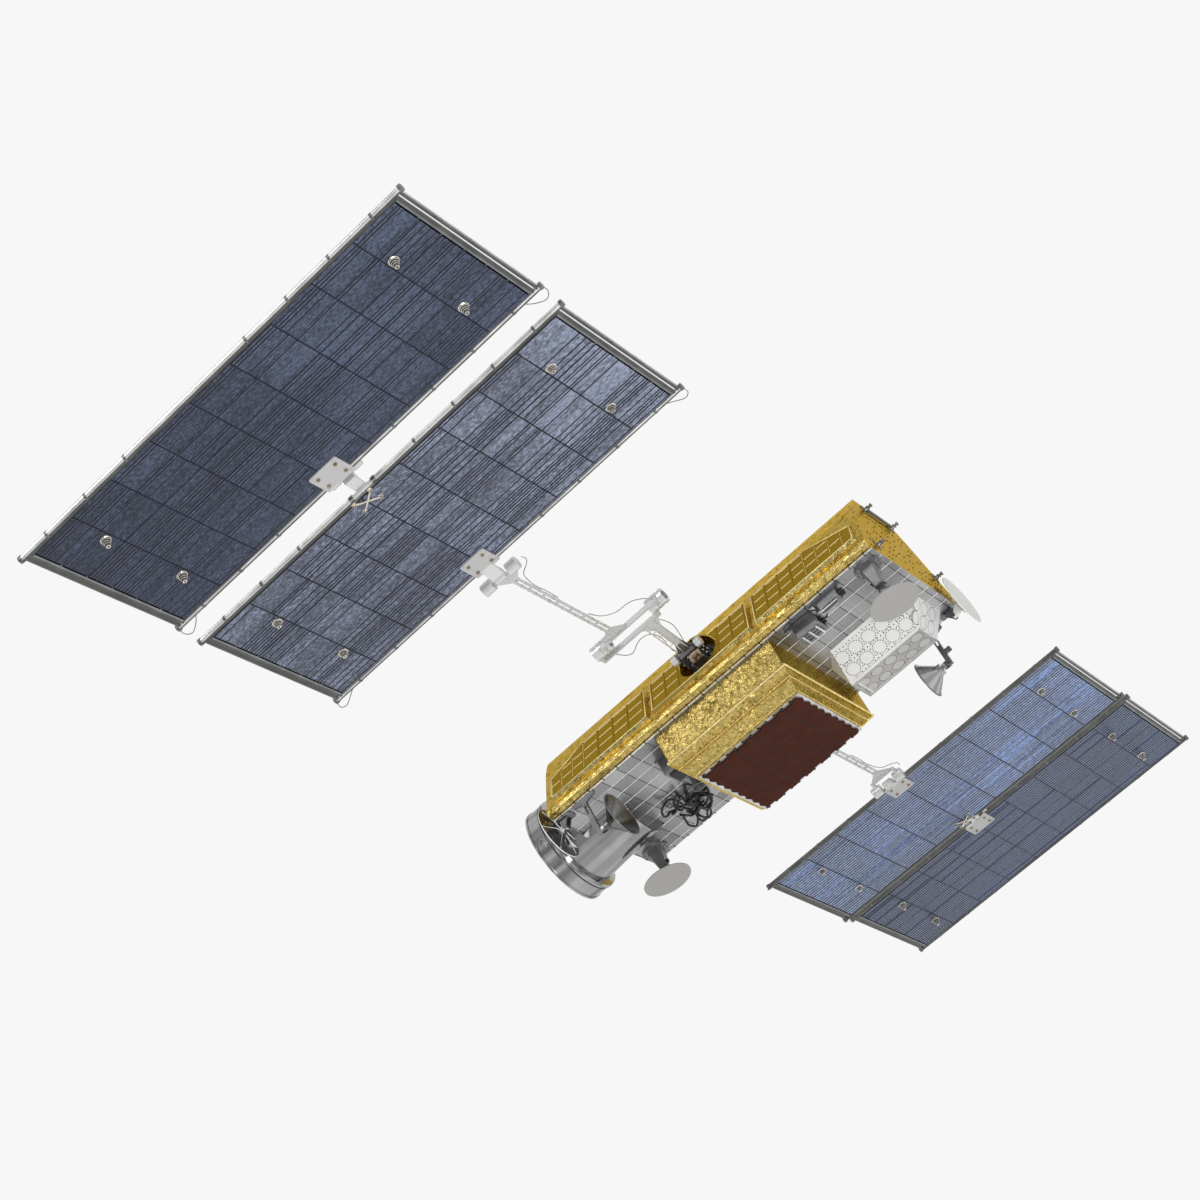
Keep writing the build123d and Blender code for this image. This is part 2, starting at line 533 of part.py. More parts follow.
# ================================================================== end dishes
END_DISH_R = 175
END_DISH_DEPTH = 30
END_DISH_RIM, END_DISH_BACK_R = 6, 60
END_DISH_HOLLOW = 5            # how far the face is dished in
END_PIVOT_X, END_PIVOT_Y, END_PIVOT_Z = 1232, 508, -408
END_FOOT = (96, 84)
END_FOOT_T = 10
END_CHEEK_T, END_CHEEK_GAP, END_CHEEK_R = 10, 36, 15
END_KNUCKLE_R, END_KNUCKLE_L = 13, 34
END_WEB_T = 16
END_RIBS, END_RIB_T = 6, 8
# name, which end (+1 fore, -1 aft), how far out and how low the dish's middle stands
END_DISHES = (("fore", 1, 1330, -355), ("aft", -1, 1300, -405))
for name, end, dish_x, dish_z in END_DISHES:
    y0 = end * END_PIVOT_Y
    pivot_x = end * END_PIVOT_X
    with BuildPart() as clevis:
        with BuildSketch(Plane.XY.offset(DECK_Z - END_FOOT_T)) as clevis_foot:
            with Locations((pivot_x - end * END_FOOT[0] / 3, y0)):
                Rectangle(*END_FOOT)
                chamfer(clevis_foot.vertices(), END_FOOT_T)
        extrude(amount=END_FOOT_T)
        for side in (-1, 1):
            with BuildSketch(Plane.XZ.offset(-(y0 + side * END_CHEEK_GAP / 2))):
                with BuildLine():
                    Polyline((pivot_x - end * END_FOOT[0] / 2, DECK_Z - END_FOOT_T),
                             (pivot_x + end * END_CHEEK_R, DECK_Z - END_FOOT_T),
                             (pivot_x + end * END_CHEEK_R, END_PIVOT_Z),
                             (pivot_x - end * END_CHEEK_R, END_PIVOT_Z), close=True)
                make_face()
                with Locations((pivot_x, END_PIVOT_Z)):
                    Circle(END_CHEEK_R)
            extrude(amount=-side * END_CHEEK_T)
    clevis.part.label = f"end_clevis_{name}"
    export_step(clevis.part, f"parts/end_clevis_{name}.step")

    with BuildPart() as end_dish:
        face = end * dish_x
        back = end * (dish_x - END_DISH_DEPTH)
        rim_back = face - end * END_DISH_RIM
        with BuildSketch(Plane.XZ.offset(-y0)):
            with BuildLine():
                Polyline((face - end * END_DISH_HOLLOW, dish_z),
                         (face - end * END_DISH_HOLLOW, dish_z - END_DISH_BACK_R),
                         (face, dish_z - END_DISH_R + END_DISH_RIM), (face, dish_z - END_DISH_R),
                         (rim_back, dish_z - END_DISH_R),
                         (back, dish_z - END_DISH_BACK_R), (back, dish_z), close=True)
            make_face()
        revolve(axis=Axis((0, y0, dish_z), (1, 0, 0)))
        # ribs down the back
        for rib in range(END_RIBS):
            turn_by = rib * 360 / END_RIBS + 180 / END_RIBS
            rib_plane = Plane(origin=(rim_back, y0, dish_z), x_dir=(-end, 0, 0),
                              z_dir=(0, cos(turn_by * pi / 180), sin(turn_by * pi / 180)))
            with BuildSketch(rib_plane):
                with BuildLine():
                    reach = END_DISH_R - 2 * END_DISH_RIM
                    Polyline((0, 0), (0, reach), (END_DISH_RIM, reach),
                             (END_DISH_DEPTH, END_DISH_BACK_R), (END_DISH_DEPTH, 0), close=True)
                make_face()
            extrude(amount=END_RIB_T / 2, both=True)
        # web from the back down to the pivot
        with BuildSketch(Plane.XZ.offset(-y0)):
            with BuildLine():
                Polyline((pivot_x + end * END_KNUCKLE_R / 2, END_PIVOT_Z - END_KNUCKLE_R),
                         (back + end * END_DISH_RIM, dish_z - END_DISH_BACK_R + END_WEB_T),
                         (back + end * END_DISH_RIM, dish_z + END_WEB_T),
                         (pivot_x + end * END_KNUCKLE_R / 2, END_PIVOT_Z + END_KNUCKLE_R),
                         close=True)
            make_face()
        extrude(amount=END_WEB_T, both=True)
        with BuildSketch(Plane.XZ.offset(-y0)):
            with Locations((pivot_x, END_PIVOT_Z)):
                Circle(END_KNUCKLE_R)
        extrude(amount=END_KNUCKLE_L / 2, both=True)
    end_dish.part.label = f"end_dish_{name}"
    export_step(end_dish.part, f"parts/end_dish_{name}.step")

# ================================================================== steerable horns
HORN_DEPTH = 95
HORN_WALL = 6
HORN_THROAT_R, HORN_THROAT_L = 38, 22
HORN_PIVOT_BACK = 140           # pivot's distance behind the mouth
HORN_KNUCKLE_R, HORN_KNUCKLE_L = 10, 25
HORN_NECK = (24, 20)
HORN_ARM_T = 26
# arm seen from its side: distances towards the ring from the pivot, heights below the deck
ARM_DECK_OUT, ARM_DECK_IN, ARM_DECK_H = 118, -52, 20
ARM_LEG_OUT, ARM_LEG_IN = 52, 22
ARM_SPUR_OUT, ARM_SPUR_AT, ARM_SPUR_H = 84, 175, 13
ARM_HOLE_W, ARM_HOLE_H = 16, 60
HORN_CHEEK_T, HORN_CHEEK_GAP, HORN_CHEEK_R = 8, 26, 16
HORN_BLOCK_T = 10
# name, turn about +Z (+1 on the launch-ring side), mouth radius, mouth X, Y and Z before turning
HORNS = (("aft", 1, 150, -863, -547, -620), ("fore", -1, 120, -863, -560, -605))
for name, turn, radius, mouth_x, mouth_y, mouth_z in HORNS:
    mx, my = turn * mouth_x, turn * mouth_y
    pivot_x = mx - turn * HORN_PIVOT_BACK
    with BuildPart() as horn_arm:
        with BuildSketch(Plane.XZ.offset(-my)):
            leg_out, leg_in = pivot_x - turn * ARM_LEG_OUT, pivot_x - turn * ARM_LEG_IN
            with BuildLine():
                Polyline((pivot_x - turn * ARM_DECK_OUT, DECK_Z),
                         (pivot_x - turn * ARM_DECK_IN, DECK_Z),
                         (pivot_x - turn * ARM_DECK_IN, DECK_Z - ARM_DECK_H),
                         (leg_in, DECK_Z - 2 * ARM_DECK_H),
                         (leg_in, mouth_z - HORN_CHEEK_R), (leg_out, mouth_z - HORN_CHEEK_R),
                         (leg_out, DECK_Z - 2 * ARM_DECK_H),
                         (pivot_x - turn * ARM_DECK_OUT, DECK_Z - ARM_DECK_H), close=True)
            make_face()
            # spur towards the ring
            with Locations(((leg_out + pivot_x - turn * ARM_SPUR_OUT) / 2, DECK_Z - ARM_SPUR_AT)):
                Rectangle(ARM_SPUR_OUT - ARM_LEG_OUT + ARM_SPUR_H, 2 * ARM_SPUR_H)
            with Locations(((leg_out + leg_in) / 2, DECK_Z - ARM_SPUR_AT / 2)):
                SlotOverall(ARM_HOLE_H, ARM_HOLE_W, rotation=90, mode=Mode.SUBTRACT)
        extrude(amount=HORN_ARM_T / 2, both=True)
        # groove that parts the spur into two bars
        with BuildSketch(Plane.XY.offset(DECK_Z - ARM_SPUR_AT - ARM_SPUR_H)):
            with Locations(((leg_out + pivot_x - turn * ARM_SPUR_OUT) / 2 - turn * HORN_ARM_T / 2,
                            my)):
                Rectangle(ARM_SPUR_OUT - ARM_LEG_OUT, HORN_CHEEK_T)
        extrude(amount=2 * ARM_SPUR_H, mode=Mode.SUBTRACT)
        # clevis for the horn
        for side in (-1, 1):
            with BuildSketch(Plane.XZ.offset(-(my + side * HORN_CHEEK_GAP / 2))):
                with Locations((pivot_x, mouth_z)):
                    Circle(HORN_CHEEK_R)
                with Locations(((pivot_x + leg_in) / 2, mouth_z)):
                    Rectangle(abs(pivot_x - leg_in), 2 * HORN_CHEEK_R)
            extrude(amount=-side * HORN_CHEEK_T)
        with BuildSketch(Plane.YZ.offset(leg_in)):
            with Locations((my, mouth_z)):
                Rectangle(HORN_CHEEK_GAP + 2 * HORN_CHEEK_T, 2 * HORN_CHEEK_R)
        extrude(amount=-turn * HORN_BLOCK_T)
    horn_arm.part.label = f"horn_arm_{name}"
    export_step(horn_arm.part, f"parts/horn_arm_{name}.step")

    with BuildPart() as horn:
        throat = mx - turn * HORN_DEPTH
        with BuildSketch(Plane.XZ.offset(-my)):
            with BuildLine():
                Polyline((mx, mouth_z - radius), (throat, mouth_z - HORN_THROAT_R),
                         (throat - turn * HORN_THROAT_L, mouth_z - HORN_THROAT_R),
                         (throat - turn * HORN_THROAT_L, mouth_z),
                         (throat + turn * HORN_WALL, mouth_z),
                         (throat + turn * HORN_WALL, mouth_z - HORN_THROAT_R + HORN_WALL),
                         (mx, mouth_z - radius + HORN_WALL), close=True)
            make_face()
        revolve(axis=Axis((mx, my, mouth_z), (1, 0, 0)))
        with BuildSketch(Plane.YZ.offset(pivot_x)):
            with Locations((my, mouth_z)):
                Rectangle(*HORN_NECK)
        extrude(amount=turn * (HORN_PIVOT_BACK - HORN_DEPTH - HORN_THROAT_L))
        with BuildSketch(Plane.XZ.offset(-my)):
            with Locations((pivot_x, mouth_z)):
                Circle(HORN_KNUCKLE_R)
        extrude(amount=HORN_KNUCKLE_L / 2, both=True)
    horn.part.label = f"horn_{name}"
    export_step(horn.part, f"parts/horn_{name}.step")

# ================================================================== end brackets
BRACKET_R, BRACKET_T, BRACKET_DROP = 48, 7, 20
BRACKET_PIN_R, BRACKET_PIN_L = 8, 54
BRACKET_BOSS_R, BRACKET_BOSS_L = 14, 16
BRACKET_TAPER = 25
BRACKETS = (("bracket_roof_left", -126, 192), ("bracket_roof_right", 209, 192),
            ("bracket_low_left", -388, -235), ("bracket_low_right", 466, -125))
for name, y, z in BRACKETS:
    with BuildPart() as bracket:
        face = Plane(origin=(BUS_X1, y, z - BRACKET_DROP), x_dir=(0, 1, 0), z_dir=(1, 0, 0))
        with BuildSketch(face) as bracket_plate:
            RegularPolygon(BRACKET_R, 3, rotation=-90)
            fillet(bracket_plate.vertices(), BRACKET_T)
        extrude(amount=BRACKET_T)
        with BuildSketch(face.offset(BRACKET_T)):
            Circle(BRACKET_BOSS_R)
        extrude(amount=BRACKET_BOSS_L, taper=BRACKET_TAPER / 2)
        with BuildSketch(face):
            Circle(BRACKET_PIN_R)
        extrude(amount=BRACKET_PIN_L)
    bracket.part.label = name
    export_step(bracket.part, f"parts/{name}.step")

# ================================================================== wings
DRIVE_R, DRIVE_STEP_R = 112, 96          # fixed housing of the wing drive
DRIVE_Y0, DRIVE_STEP_Y, DRIVE_Y1 = 280, 378, 400
TABLE_R, TABLE_T, TABLE_GAP = 80, 30, 1
ROOT_CHEEK_X, ROOT_CHEEK_T = 62, 11      # cheeks that carry the root axis, from DRIVE_X
ROOT_CHEEK_H, ROOT_CHEEK_TIP_R = 104, 24
ROOT_DRUM_R, ROOT_DRUM_L, ROOT_DRUM_X = 30, 38, 92
ROOT_BARREL_R, ROOT_BARREL_L = 26, 110
STEM_X, STEM_W, STEM_T = 32, 44, 32      # beam from the root axis to the middle axis
STEM_POCKET_W, STEM_POCKET_DEEP = 24, 6
STEM_END_Y, STEM_END_Z = 965, 0
BLADE_T, BLADE_H = 14, 32                # cross bars either side of the middle axis
BLADE_OUT = 60                           # their distance from it
INNER_BLADE, OUTER_BLADE = (-335, 118), (-265, 178)
DRUM_R, DRUM_GROOVE, DRUM_BAND = 48, 3, 20
LUG_T = 20
# first X, last X of the drum halves, and the X where the lug that carries each begins
INNER_DRUMS = ((95, 154, INNER_BLADE[1] - LUG_T), (-342, -283, INNER_BLADE[0]))
OUTER_DRUMS = ((156, 215, OUTER_BLADE[1] - LUG_T), (-281, -222, OUTER_BLADE[0]))
GUSSET_T = 8
TUBE_R, TUBE_X, TUBE_SPREAD = 8, -140, 14
TUBE_Y0, TUBE_Y1 = 1160, 2100
CLIP_PITCH, CLIP_L, CLIP_T = 130, 12, 12
FORK_Y0, FORK_Y1, FORK_T = 2090, 2185, 14
FORK_HALF_W, FORK_ROOT_HALF_W = 100, 25
FORK_DRUM_R, FORK_DRUM_L = 38, 68
FORK_DRUMS = (-240, -54)
PANEL_BARREL_R, PANEL_BARREL = 26, (-184, -116)
PANEL_LUG = (-190, -110)
ROOT_PLATE = (-143, 172)                 # middle X and width of the inner panel's plate
TIP_PLATE = (-115, 190)                  # the same on the outer panel
PLATE_IN, PLATE_OUT, PANEL_PLATE_T = -22, 146, 10   # reach of the plates from the rail
SCREW_R, SCREW_H, SCREW_IN = 8, 3, 18
TIP_DRUM_R, TIP_DRUM_L, TIP_DRUMS = 27, 50, (-173, -15)
TIP_BARREL_R, TIP_BARREL = 24, (-140, -48)
TIP_LUG_W = 40
CLAMP_R, CLAMP_L = 21, 24                # rings that grip the rail beside the tip hinge
EDGE_BARS, EDGE_BAR_W, EDGE_BAR_H = (1264, 1290), 12, 24
CROSS_X, CROSS_Y = -130, 3390            # crossed brace on the inner panel
CROSS_HALF = (58, 44)
CROSS_W, CROSS_T, CROSS_FOOT_R, CROSS_FOOT_H = 10, 8, 11, 6


def yz_points(side, *points):
    """The (y, z) points of a right-hand profile, for either wing."""
    return [(side * y, z) for y, z in points]


def drum(x0, x1, y, z, radius, groove=0):
    """Round drum along X from x0 to x1; a groove leaves a raised band at both ends."""
    with Locations(((x0 + x1) / 2, y, z)):
        Cylinder(radius - groove, x1 - x0, rotation=(0, 90, 0))
    if groove:
        for x in (x0 + DRUM_BAND / 2, x1 - DRUM_BAND / 2):
            with Locations((x, y, z)):
                Cylinder(radius, DRUM_BAND, rotation=(0, 90, 0))


for side, hand in ((-1, "left"), (1, "right")):
    with BuildPart() as drive_housing:
        with BuildSketch(Plane.YZ.offset(DRIVE_X)):
            with BuildLine():
                Polyline(*yz_points(side, (DRIVE_Y0, DRIVE_Z), (DRIVE_Y0, DRIVE_Z - DRIVE_R),
                                    (DRIVE_STEP_Y, DRIVE_Z - DRIVE_R),
                                    (DRIVE_STEP_Y, DRIVE_Z - DRIVE_STEP_R),
                                    (DRIVE_Y1, DRIVE_Z - DRIVE_STEP_R), (DRIVE_Y1, DRIVE_Z)),
                         close=True)
            make_face()
        revolve(axis=Axis((DRIVE_X, 0, DRIVE_Z), (0, 1, 0)))
    drive_housing.part.label = f"drive_housing_{hand}"
    export_step(drive_housing.part, f"parts/drive_housing_{hand}.step")

    # turntable with the cheeks and drums of the root hinge
    with BuildPart() as root_fitting:
        table_y = DRIVE_Y1 + TABLE_GAP
        cheek_y = table_y + TABLE_T
        with BuildSketch(Plane(origin=(DRIVE_X, side * table_y, DRIVE_Z), x_dir=(1, 0, 0),
                               z_dir=(0, side, 0))):
            Circle(TABLE_R)
        extrude(amount=TABLE_T)
        for way in (-1, 1):
            cheek_x = DRIVE_X + way * ROOT_CHEEK_X
            with BuildSketch(Plane.YZ.offset(cheek_x)):
                with BuildLine():
                    Polyline(*yz_points(side, (cheek_y - TABLE_T / 2, ROOT_Z - ROOT_CHEEK_H / 2),
                                        (ROOT_Y, ROOT_Z - ROOT_CHEEK_TIP_R),
                                        (ROOT_Y, ROOT_Z + ROOT_CHEEK_TIP_R),
                                        (cheek_y - TABLE_T / 2, ROOT_Z + ROOT_CHEEK_H / 2)),
                             close=True)
                make_face()
                with Locations((side * ROOT_Y, ROOT_Z)):
                    Circle(ROOT_CHEEK_TIP_R)
                with Locations((side * (cheek_y + ROOT_Y - ROOT_CHEEK_TIP_R) / 2, ROOT_Z)):
                    SlotOverall(ROOT_Y - cheek_y - 2 * ROOT_CHEEK_TIP_R, ROOT_CHEEK_TIP_R,
                                mode=Mode.SUBTRACT)
            extrude(amount=way * ROOT_CHEEK_T)
            # foot that widens the cheek where it meets the turntable
            with BuildSketch(Plane.YZ.offset(DRIVE_X + way * ROOT_DRUM_X / 2)):
                with Locations((side * cheek_y, ROOT_Z)):
                    Rectangle(ROOT_CHEEK_T, ROOT_CHEEK_H)
            extrude(amount=way * (ROOT_CHEEK_X - ROOT_DRUM_X / 2))
            drum(DRIVE_X + way * ROOT_DRUM_X - ROOT_DRUM_L / 2,
                 DRIVE_X + way * ROOT_DRUM_X + ROOT_DRUM_L / 2, side * ROOT_Y, ROOT_Z,
                 ROOT_DRUM_R)
    root_fitting.part.label = f"root_fitting_{hand}"
    export_step(root_fitting.part, f"parts/root_fitting_{hand}.step")

    with BuildPart() as yoke_inner:
        drum(DRIVE_X - ROOT_BARREL_L / 2, DRIVE_X + ROOT_BARREL_L / 2, side * ROOT_Y, ROOT_Z,
             ROOT_BARREL_R)
        rise = STEM_END_Z - ROOT_Z
        reach = STEM_END_Y - ROOT_Y
        stem_l = hypot(rise, reach)
        stem_plane = Plane(origin=(0, side * ROOT_Y, ROOT_Z), x_dir=(1, 0, 0),
                           z_dir=(0, -rise, side * reach))
        with BuildSketch(stem_plane):
            with Locations((STEM_X, stem_l / 2)):
                Rectangle(STEM_W, stem_l)
        extrude(amount=STEM_T / 2, both=True)
        # pockets down both faces of the stem
        for face_lift in (STEM_T / 2, -STEM_T / 2):
            with BuildSketch(stem_plane.offset(face_lift)):
                with Locations((STEM_X, stem_l / 2 + ROOT_BARREL_R)):
                    SlotOverall(stem_l - 5 * ROOT_BARREL_R, STEM_POCKET_W, rotation=90)
            extrude(amount=-STEM_POCKET_DEEP if face_lift > 0 else STEM_POCKET_DEEP,
                    mode=Mode.SUBTRACT)
        # gussets at both ends of the stem
        with BuildSketch(stem_plane):
            with BuildLine():
                Polyline((DRIVE_X - ROOT_BARREL_L / 2, 0), (DRIVE_X + ROOT_BARREL_L / 2, 0),
                         (STEM_X + STEM_W / 2, ROOT_BARREL_L), (STEM_X - STEM_W / 2, ROOT_BARREL_L),
                         close=True)
            make_face()
            with BuildLine():
                Polyline((STEM_X - STEM_W / 2, stem_l - 2 * STEM_W),
                         (STEM_X + STEM_W / 2, stem_l - 2 * STEM_W),
                         (STEM_X + 3 * STEM_W / 2, stem_l), (STEM_X - 2 * STEM_W, stem_l),
                         close=True)
            make_face()
        extrude(amount=GUSSET_T / 2, both=True)
        with BuildSketch(Plane.YZ.offset(INNER_BLADE[0])):
            with Locations((side * (MID_Y - BLADE_OUT), STEM_END_Z)):
                Rectangle(BLADE_T, BLADE_H)
        extrude(amount=INNER_BLADE[1] - INNER_BLADE[0])
        near, far = MID_Y - BLADE_OUT - BLADE_T / 2, MID_Y - DRUM_R / 2
        for drum_x0, drum_x1, lug_x in INNER_DRUMS:
            drum(drum_x0, drum_x1, side * MID_Y, MID_Z, DRUM_R, DRUM_GROOVE)
            with BuildSketch(Plane.YZ.offset(lug_x)):
                with BuildLine():
                    Polyline(*yz_points(side, (near, -BLADE_H / 2), (near, BLADE_H / 2 - 3),
                                        (far, MID_Z + DRUM_R - 9), (MID_Y, MID_Z),
                                        (MID_Y + DRUM_R / 6, MID_Z - DRUM_R + 3)), close=True)
                make_face()
            extrude(amount=LUG_T)
    yoke_inner.part.label = f"yoke_inner_{hand}"
    export_step(yoke_inner.part, f"parts/yoke_inner_{hand}.step")

    with BuildPart() as yoke_outer:
        with BuildSketch(Plane.YZ.offset(OUTER_BLADE[0])):
            with Locations((side * (MID_Y + BLADE_OUT), STEM_END_Z)):
                Rectangle(BLADE_T, BLADE_H)
        extrude(amount=OUTER_BLADE[1] - OUTER_BLADE[0])
        near, far = MID_Y + BLADE_OUT + BLADE_T / 2, MID_Y + DRUM_R / 2
        for drum_x0, drum_x1, lug_x in OUTER_DRUMS:
            drum(drum_x0, drum_x1, side * MID_Y, MID_Z, DRUM_R, DRUM_GROOVE)
            with BuildSketch(Plane.YZ.offset(lug_x)):
                with BuildLine():
                    Polyline(*yz_points(side, (near, -BLADE_H / 2), (near, BLADE_H / 2 - 3),
                                        (far, MID_Z + DRUM_R - 9), (MID_Y, MID_Z),
                                        (MID_Y - DRUM_R / 6, MID_Z - DRUM_R + 3)), close=True)
                make_face()
            extrude(amount=LUG_T)
        # web from the bar to the twin tubes, and the fork plate at their far end
        with BuildSketch(Plane.XY):
            with BuildLine():
                Polyline((TUBE_X - 90, side * near), (TUBE_X + 90, side * near),
                         (TUBE_X + TUBE_SPREAD + TUBE_R, side * (TUBE_Y0 + TUBE_R)),
                         (TUBE_X - TUBE_SPREAD - TUBE_R, side * (TUBE_Y0 + TUBE_R)), close=True)
            make_face()
        extrude(amount=GUSSET_T / 2, both=True)
        with BuildSketch(Plane.XY):
            with BuildLine():
                Polyline((TUBE_X - FORK_ROOT_HALF_W, side * FORK_Y0),
                         (TUBE_X + FORK_ROOT_HALF_W, side * FORK_Y0),
                         (TUBE_X + FORK_HALF_W, side * FORK_Y1),
                         (TUBE_X - FORK_HALF_W, side * FORK_Y1), close=True)
            make_face()
        extrude(amount=FORK_T / 2, both=True)
        for way in (-1, 1):
            tube_foot = Plane(origin=(TUBE_X + way * TUBE_SPREAD, side * TUBE_Y0, 0),
                              z_dir=(0, side, 0))
            with BuildSketch(tube_foot.offset(-TUBE_Y0 + near)):
                Circle(TUBE_R)
            extrude(amount=TUBE_Y1 - near)
        clips = int((TUBE_Y1 - TUBE_Y0) / CLIP_PITCH)
        for clip in range(1, clips + 1):
            with Locations((TUBE_X, side * (TUBE_Y0 + clip * CLIP_PITCH), 0)):
                Box(2 * (TUBE_SPREAD + TUBE_R), CLIP_L, CLIP_T)
        for drum_x in FORK_DRUMS:
            drum(drum_x - FORK_DRUM_L / 2, drum_x + FORK_DRUM_L / 2, side * PANEL_HINGE_Y,
                 PANEL_HINGE_Z, FORK_DRUM_R)
            lug_x = max(TUBE_X - FORK_HALF_W, min(drum_x, TUBE_X + FORK_HALF_W - LUG_T))
            with BuildSketch(Plane.YZ.offset(lug_x)):
                with BuildLine():
                    Polyline(*yz_points(side, (FORK_Y1 - LUG_T, -FORK_T / 2),
                                        (FORK_Y1 - LUG_T, FORK_T / 2),
                                        (PANEL_HINGE_Y - LUG_T, FORK_T / 2 - 6),
                                        (PANEL_HINGE_Y, PANEL_HINGE_Z + FORK_DRUM_R - 4),
                                        (PANEL_HINGE_Y, PANEL_HINGE_Z),
                                        (PANEL_HINGE_Y - FORK_DRUM_R + 4, PANEL_HINGE_Z)),
                             close=True)
                make_face()
            extrude(amount=LUG_T)
    yoke_outer.part.label = f"yoke_outer_{hand}"
    export_step(yoke_outer.part, f"parts/yoke_outer_{hand}.step")

    # panel, rail near the bus, rail away from it, height of its middle, plate on its face
    for panel, y0, y1, mid_z, plate in (
            ("inner", RAIL_INNER_1, RAIL_OUTER_1, 0, ROOT_PLATE),
            ("outer", RAIL_INNER_2, RAIL_OUTER_2, PANEL_2_Z, TIP_PLATE)):
        face_z = mid_z - BOARD_T / 2
        plate_x, plate_w = plate
        plate_y = y0 + (PLATE_IN + PLATE_OUT) / 2
        plate_l = PLATE_OUT - PLATE_IN
        hold_down_ys = (side * (y0 + HOLD_DOWN_IN), side * (y1 - HOLD_DOWN_IN))
        with BuildPart() as frame:
            for y in (y0, y1):
                drum(-RAIL_HALF_X, RAIL_HALF_X, side * y, mid_z, RAIL_R)
            with BuildSketch(Plane.XY.offset(face_z)):
                with Locations((0, side * (y0 + y1) / 2)):
                    Rectangle(2 * BOARD_HALF_X, y1 - y0)
            extrude(amount=BOARD_T)
            # twin bars along both short edges
            with BuildSketch(Plane.XY.offset(mid_z - EDGE_BAR_H / 2)):
                for bar_x in EDGE_BARS:
                    for way in (-1, 1):
                        with Locations((way * bar_x, side * (y0 + y1) / 2)):
                            Rectangle(EDGE_BAR_W, y1 - y0)
            extrude(amount=EDGE_BAR_H)
            # plate with four screws over the hinge
            with BuildSketch(Plane.XY.offset(face_z - PANEL_PLATE_T)) as hinge_plate:
                with Locations((plate_x, side * plate_y)):
                    Rectangle(plate_w, plate_l)
                chamfer(hinge_plate.vertices(), SCREW_R)
            extrude(amount=PANEL_PLATE_T)
            with BuildSketch(Plane.XY.offset(face_z - PANEL_PLATE_T - SCREW_H)):
                with Locations((plate_x, side * plate_y)):
                    with GridLocations(plate_w - 2 * SCREW_IN, plate_l - 2 * SCREW_IN, 2, 2):
                        Circle(SCREW_R)
            extrude(amount=SCREW_H)
            # hold-down cones
            for y in hold_down_ys:
                for x in (-HOLD_DOWN_X, HOLD_DOWN_X):
                    cone_foot = Plane(origin=(x, y, face_z), z_dir=(0, 0, -1))
                    with BuildSketch(cone_foot):
                        Circle(HOLD_DOWN_R)
                    with BuildSketch(cone_foot.offset(HOLD_DOWN_H)):
                        Circle(HOLD_DOWN_TOP_R)
                    loft()
                    with BuildSketch(cone_foot.offset(HOLD_DOWN_H)):
                        Circle(HOLD_DOWN_BORE_R)
                    extrude(amount=-HOLD_DOWN_H, mode=Mode.SUBTRACT)
            if panel == "inner":
                drum(*PANEL_BARREL, side * PANEL_HINGE_Y, PANEL_HINGE_Z, PANEL_BARREL_R)
                with BuildSketch(Plane.YZ.offset(PANEL_LUG[0])):
                    with BuildLine():
                        Polyline(*yz_points(side, (PANEL_HINGE_Y + 5, PANEL_HINGE_Z - 18),
                                            (PANEL_HINGE_Y + 5, PANEL_HINGE_Z + 20), (y0, -8),
                                            (y0, face_z - PANEL_PLATE_T)), close=True)
                    make_face()
                extrude(amount=PANEL_LUG[1] - PANEL_LUG[0])
                # goose-neck that lifts the tip axis clear of the board
                drum(*TIP_BARREL, side * TIP_HINGE_Y, TIP_HINGE_Z, TIP_BARREL_R)
                with BuildSketch(Plane.YZ.offset(TIP_BARREL[0] + TIP_BARREL_R / 2)):
                    with BuildLine():
                        Polyline(*yz_points(side, (y1, 8), (y1, RAIL_R), (y1 + 60, 30),
                                            (TIP_HINGE_Y - 20, TIP_HINGE_Z - 2),
                                            (TIP_HINGE_Y, TIP_HINGE_Z),
                                            (TIP_HINGE_Y, TIP_HINGE_Z - 20),
                                            (TIP_HINGE_Y - 8, 14)), close=True)
                    make_face()
                extrude(amount=TIP_BARREL[1] - TIP_BARREL[0] - TIP_BARREL_R)
                for x in TIP_DRUMS:
                    drum(x - CLAMP_L / 2, x + CLAMP_L / 2, side * y1, 0, CLAMP_R)
                # crossed brace on four feet
                brace = Plane(origin=(CROSS_X, side * CROSS_Y, face_z), z_dir=(0, 0, -1))
                with BuildSketch(brace):
                    with GridLocations(2 * CROSS_HALF[0], 2 * CROSS_HALF[1], 2, 2):
                        Circle(CROSS_FOOT_R)
                extrude(amount=CROSS_FOOT_H)
                cross_l = 2 * hypot(*CROSS_HALF)
                lean = degrees(atan2(CROSS_HALF[1], CROSS_HALF[0]))
                with BuildSketch(brace.offset(CROSS_FOOT_H)):
                    Rectangle(cross_l, CROSS_W, rotation=lean)
                    Rectangle(cross_l, CROSS_W, rotation=-lean)
                extrude(amount=CROSS_T)
            else:
                for x in TIP_DRUMS:
                    drum(x - TIP_DRUM_L / 2, x + TIP_DRUM_L / 2, side * TIP_HINGE_Y, TIP_HINGE_Z,
                         TIP_DRUM_R)
                    with BuildSketch(Plane.YZ.offset(x - TIP_LUG_W / 2)):
                        with BuildLine():
                            Polyline(*yz_points(side, (TIP_HINGE_Y, TIP_HINGE_Z - 24),
                                                (TIP_HINGE_Y, TIP_HINGE_Z),
                                                (TIP_HINGE_Y + 12, TIP_HINGE_Z + 20),
                                                (y0, mid_z + RAIL_R - 2), (y0, mid_z - 8)),
                                     close=True)
                        make_face()
                    extrude(amount=TIP_LUG_W)
        frame.part.label = f"panel_{panel}_{hand}"
        export_step(frame.part, f"parts/panel_{panel}_{hand}.step")

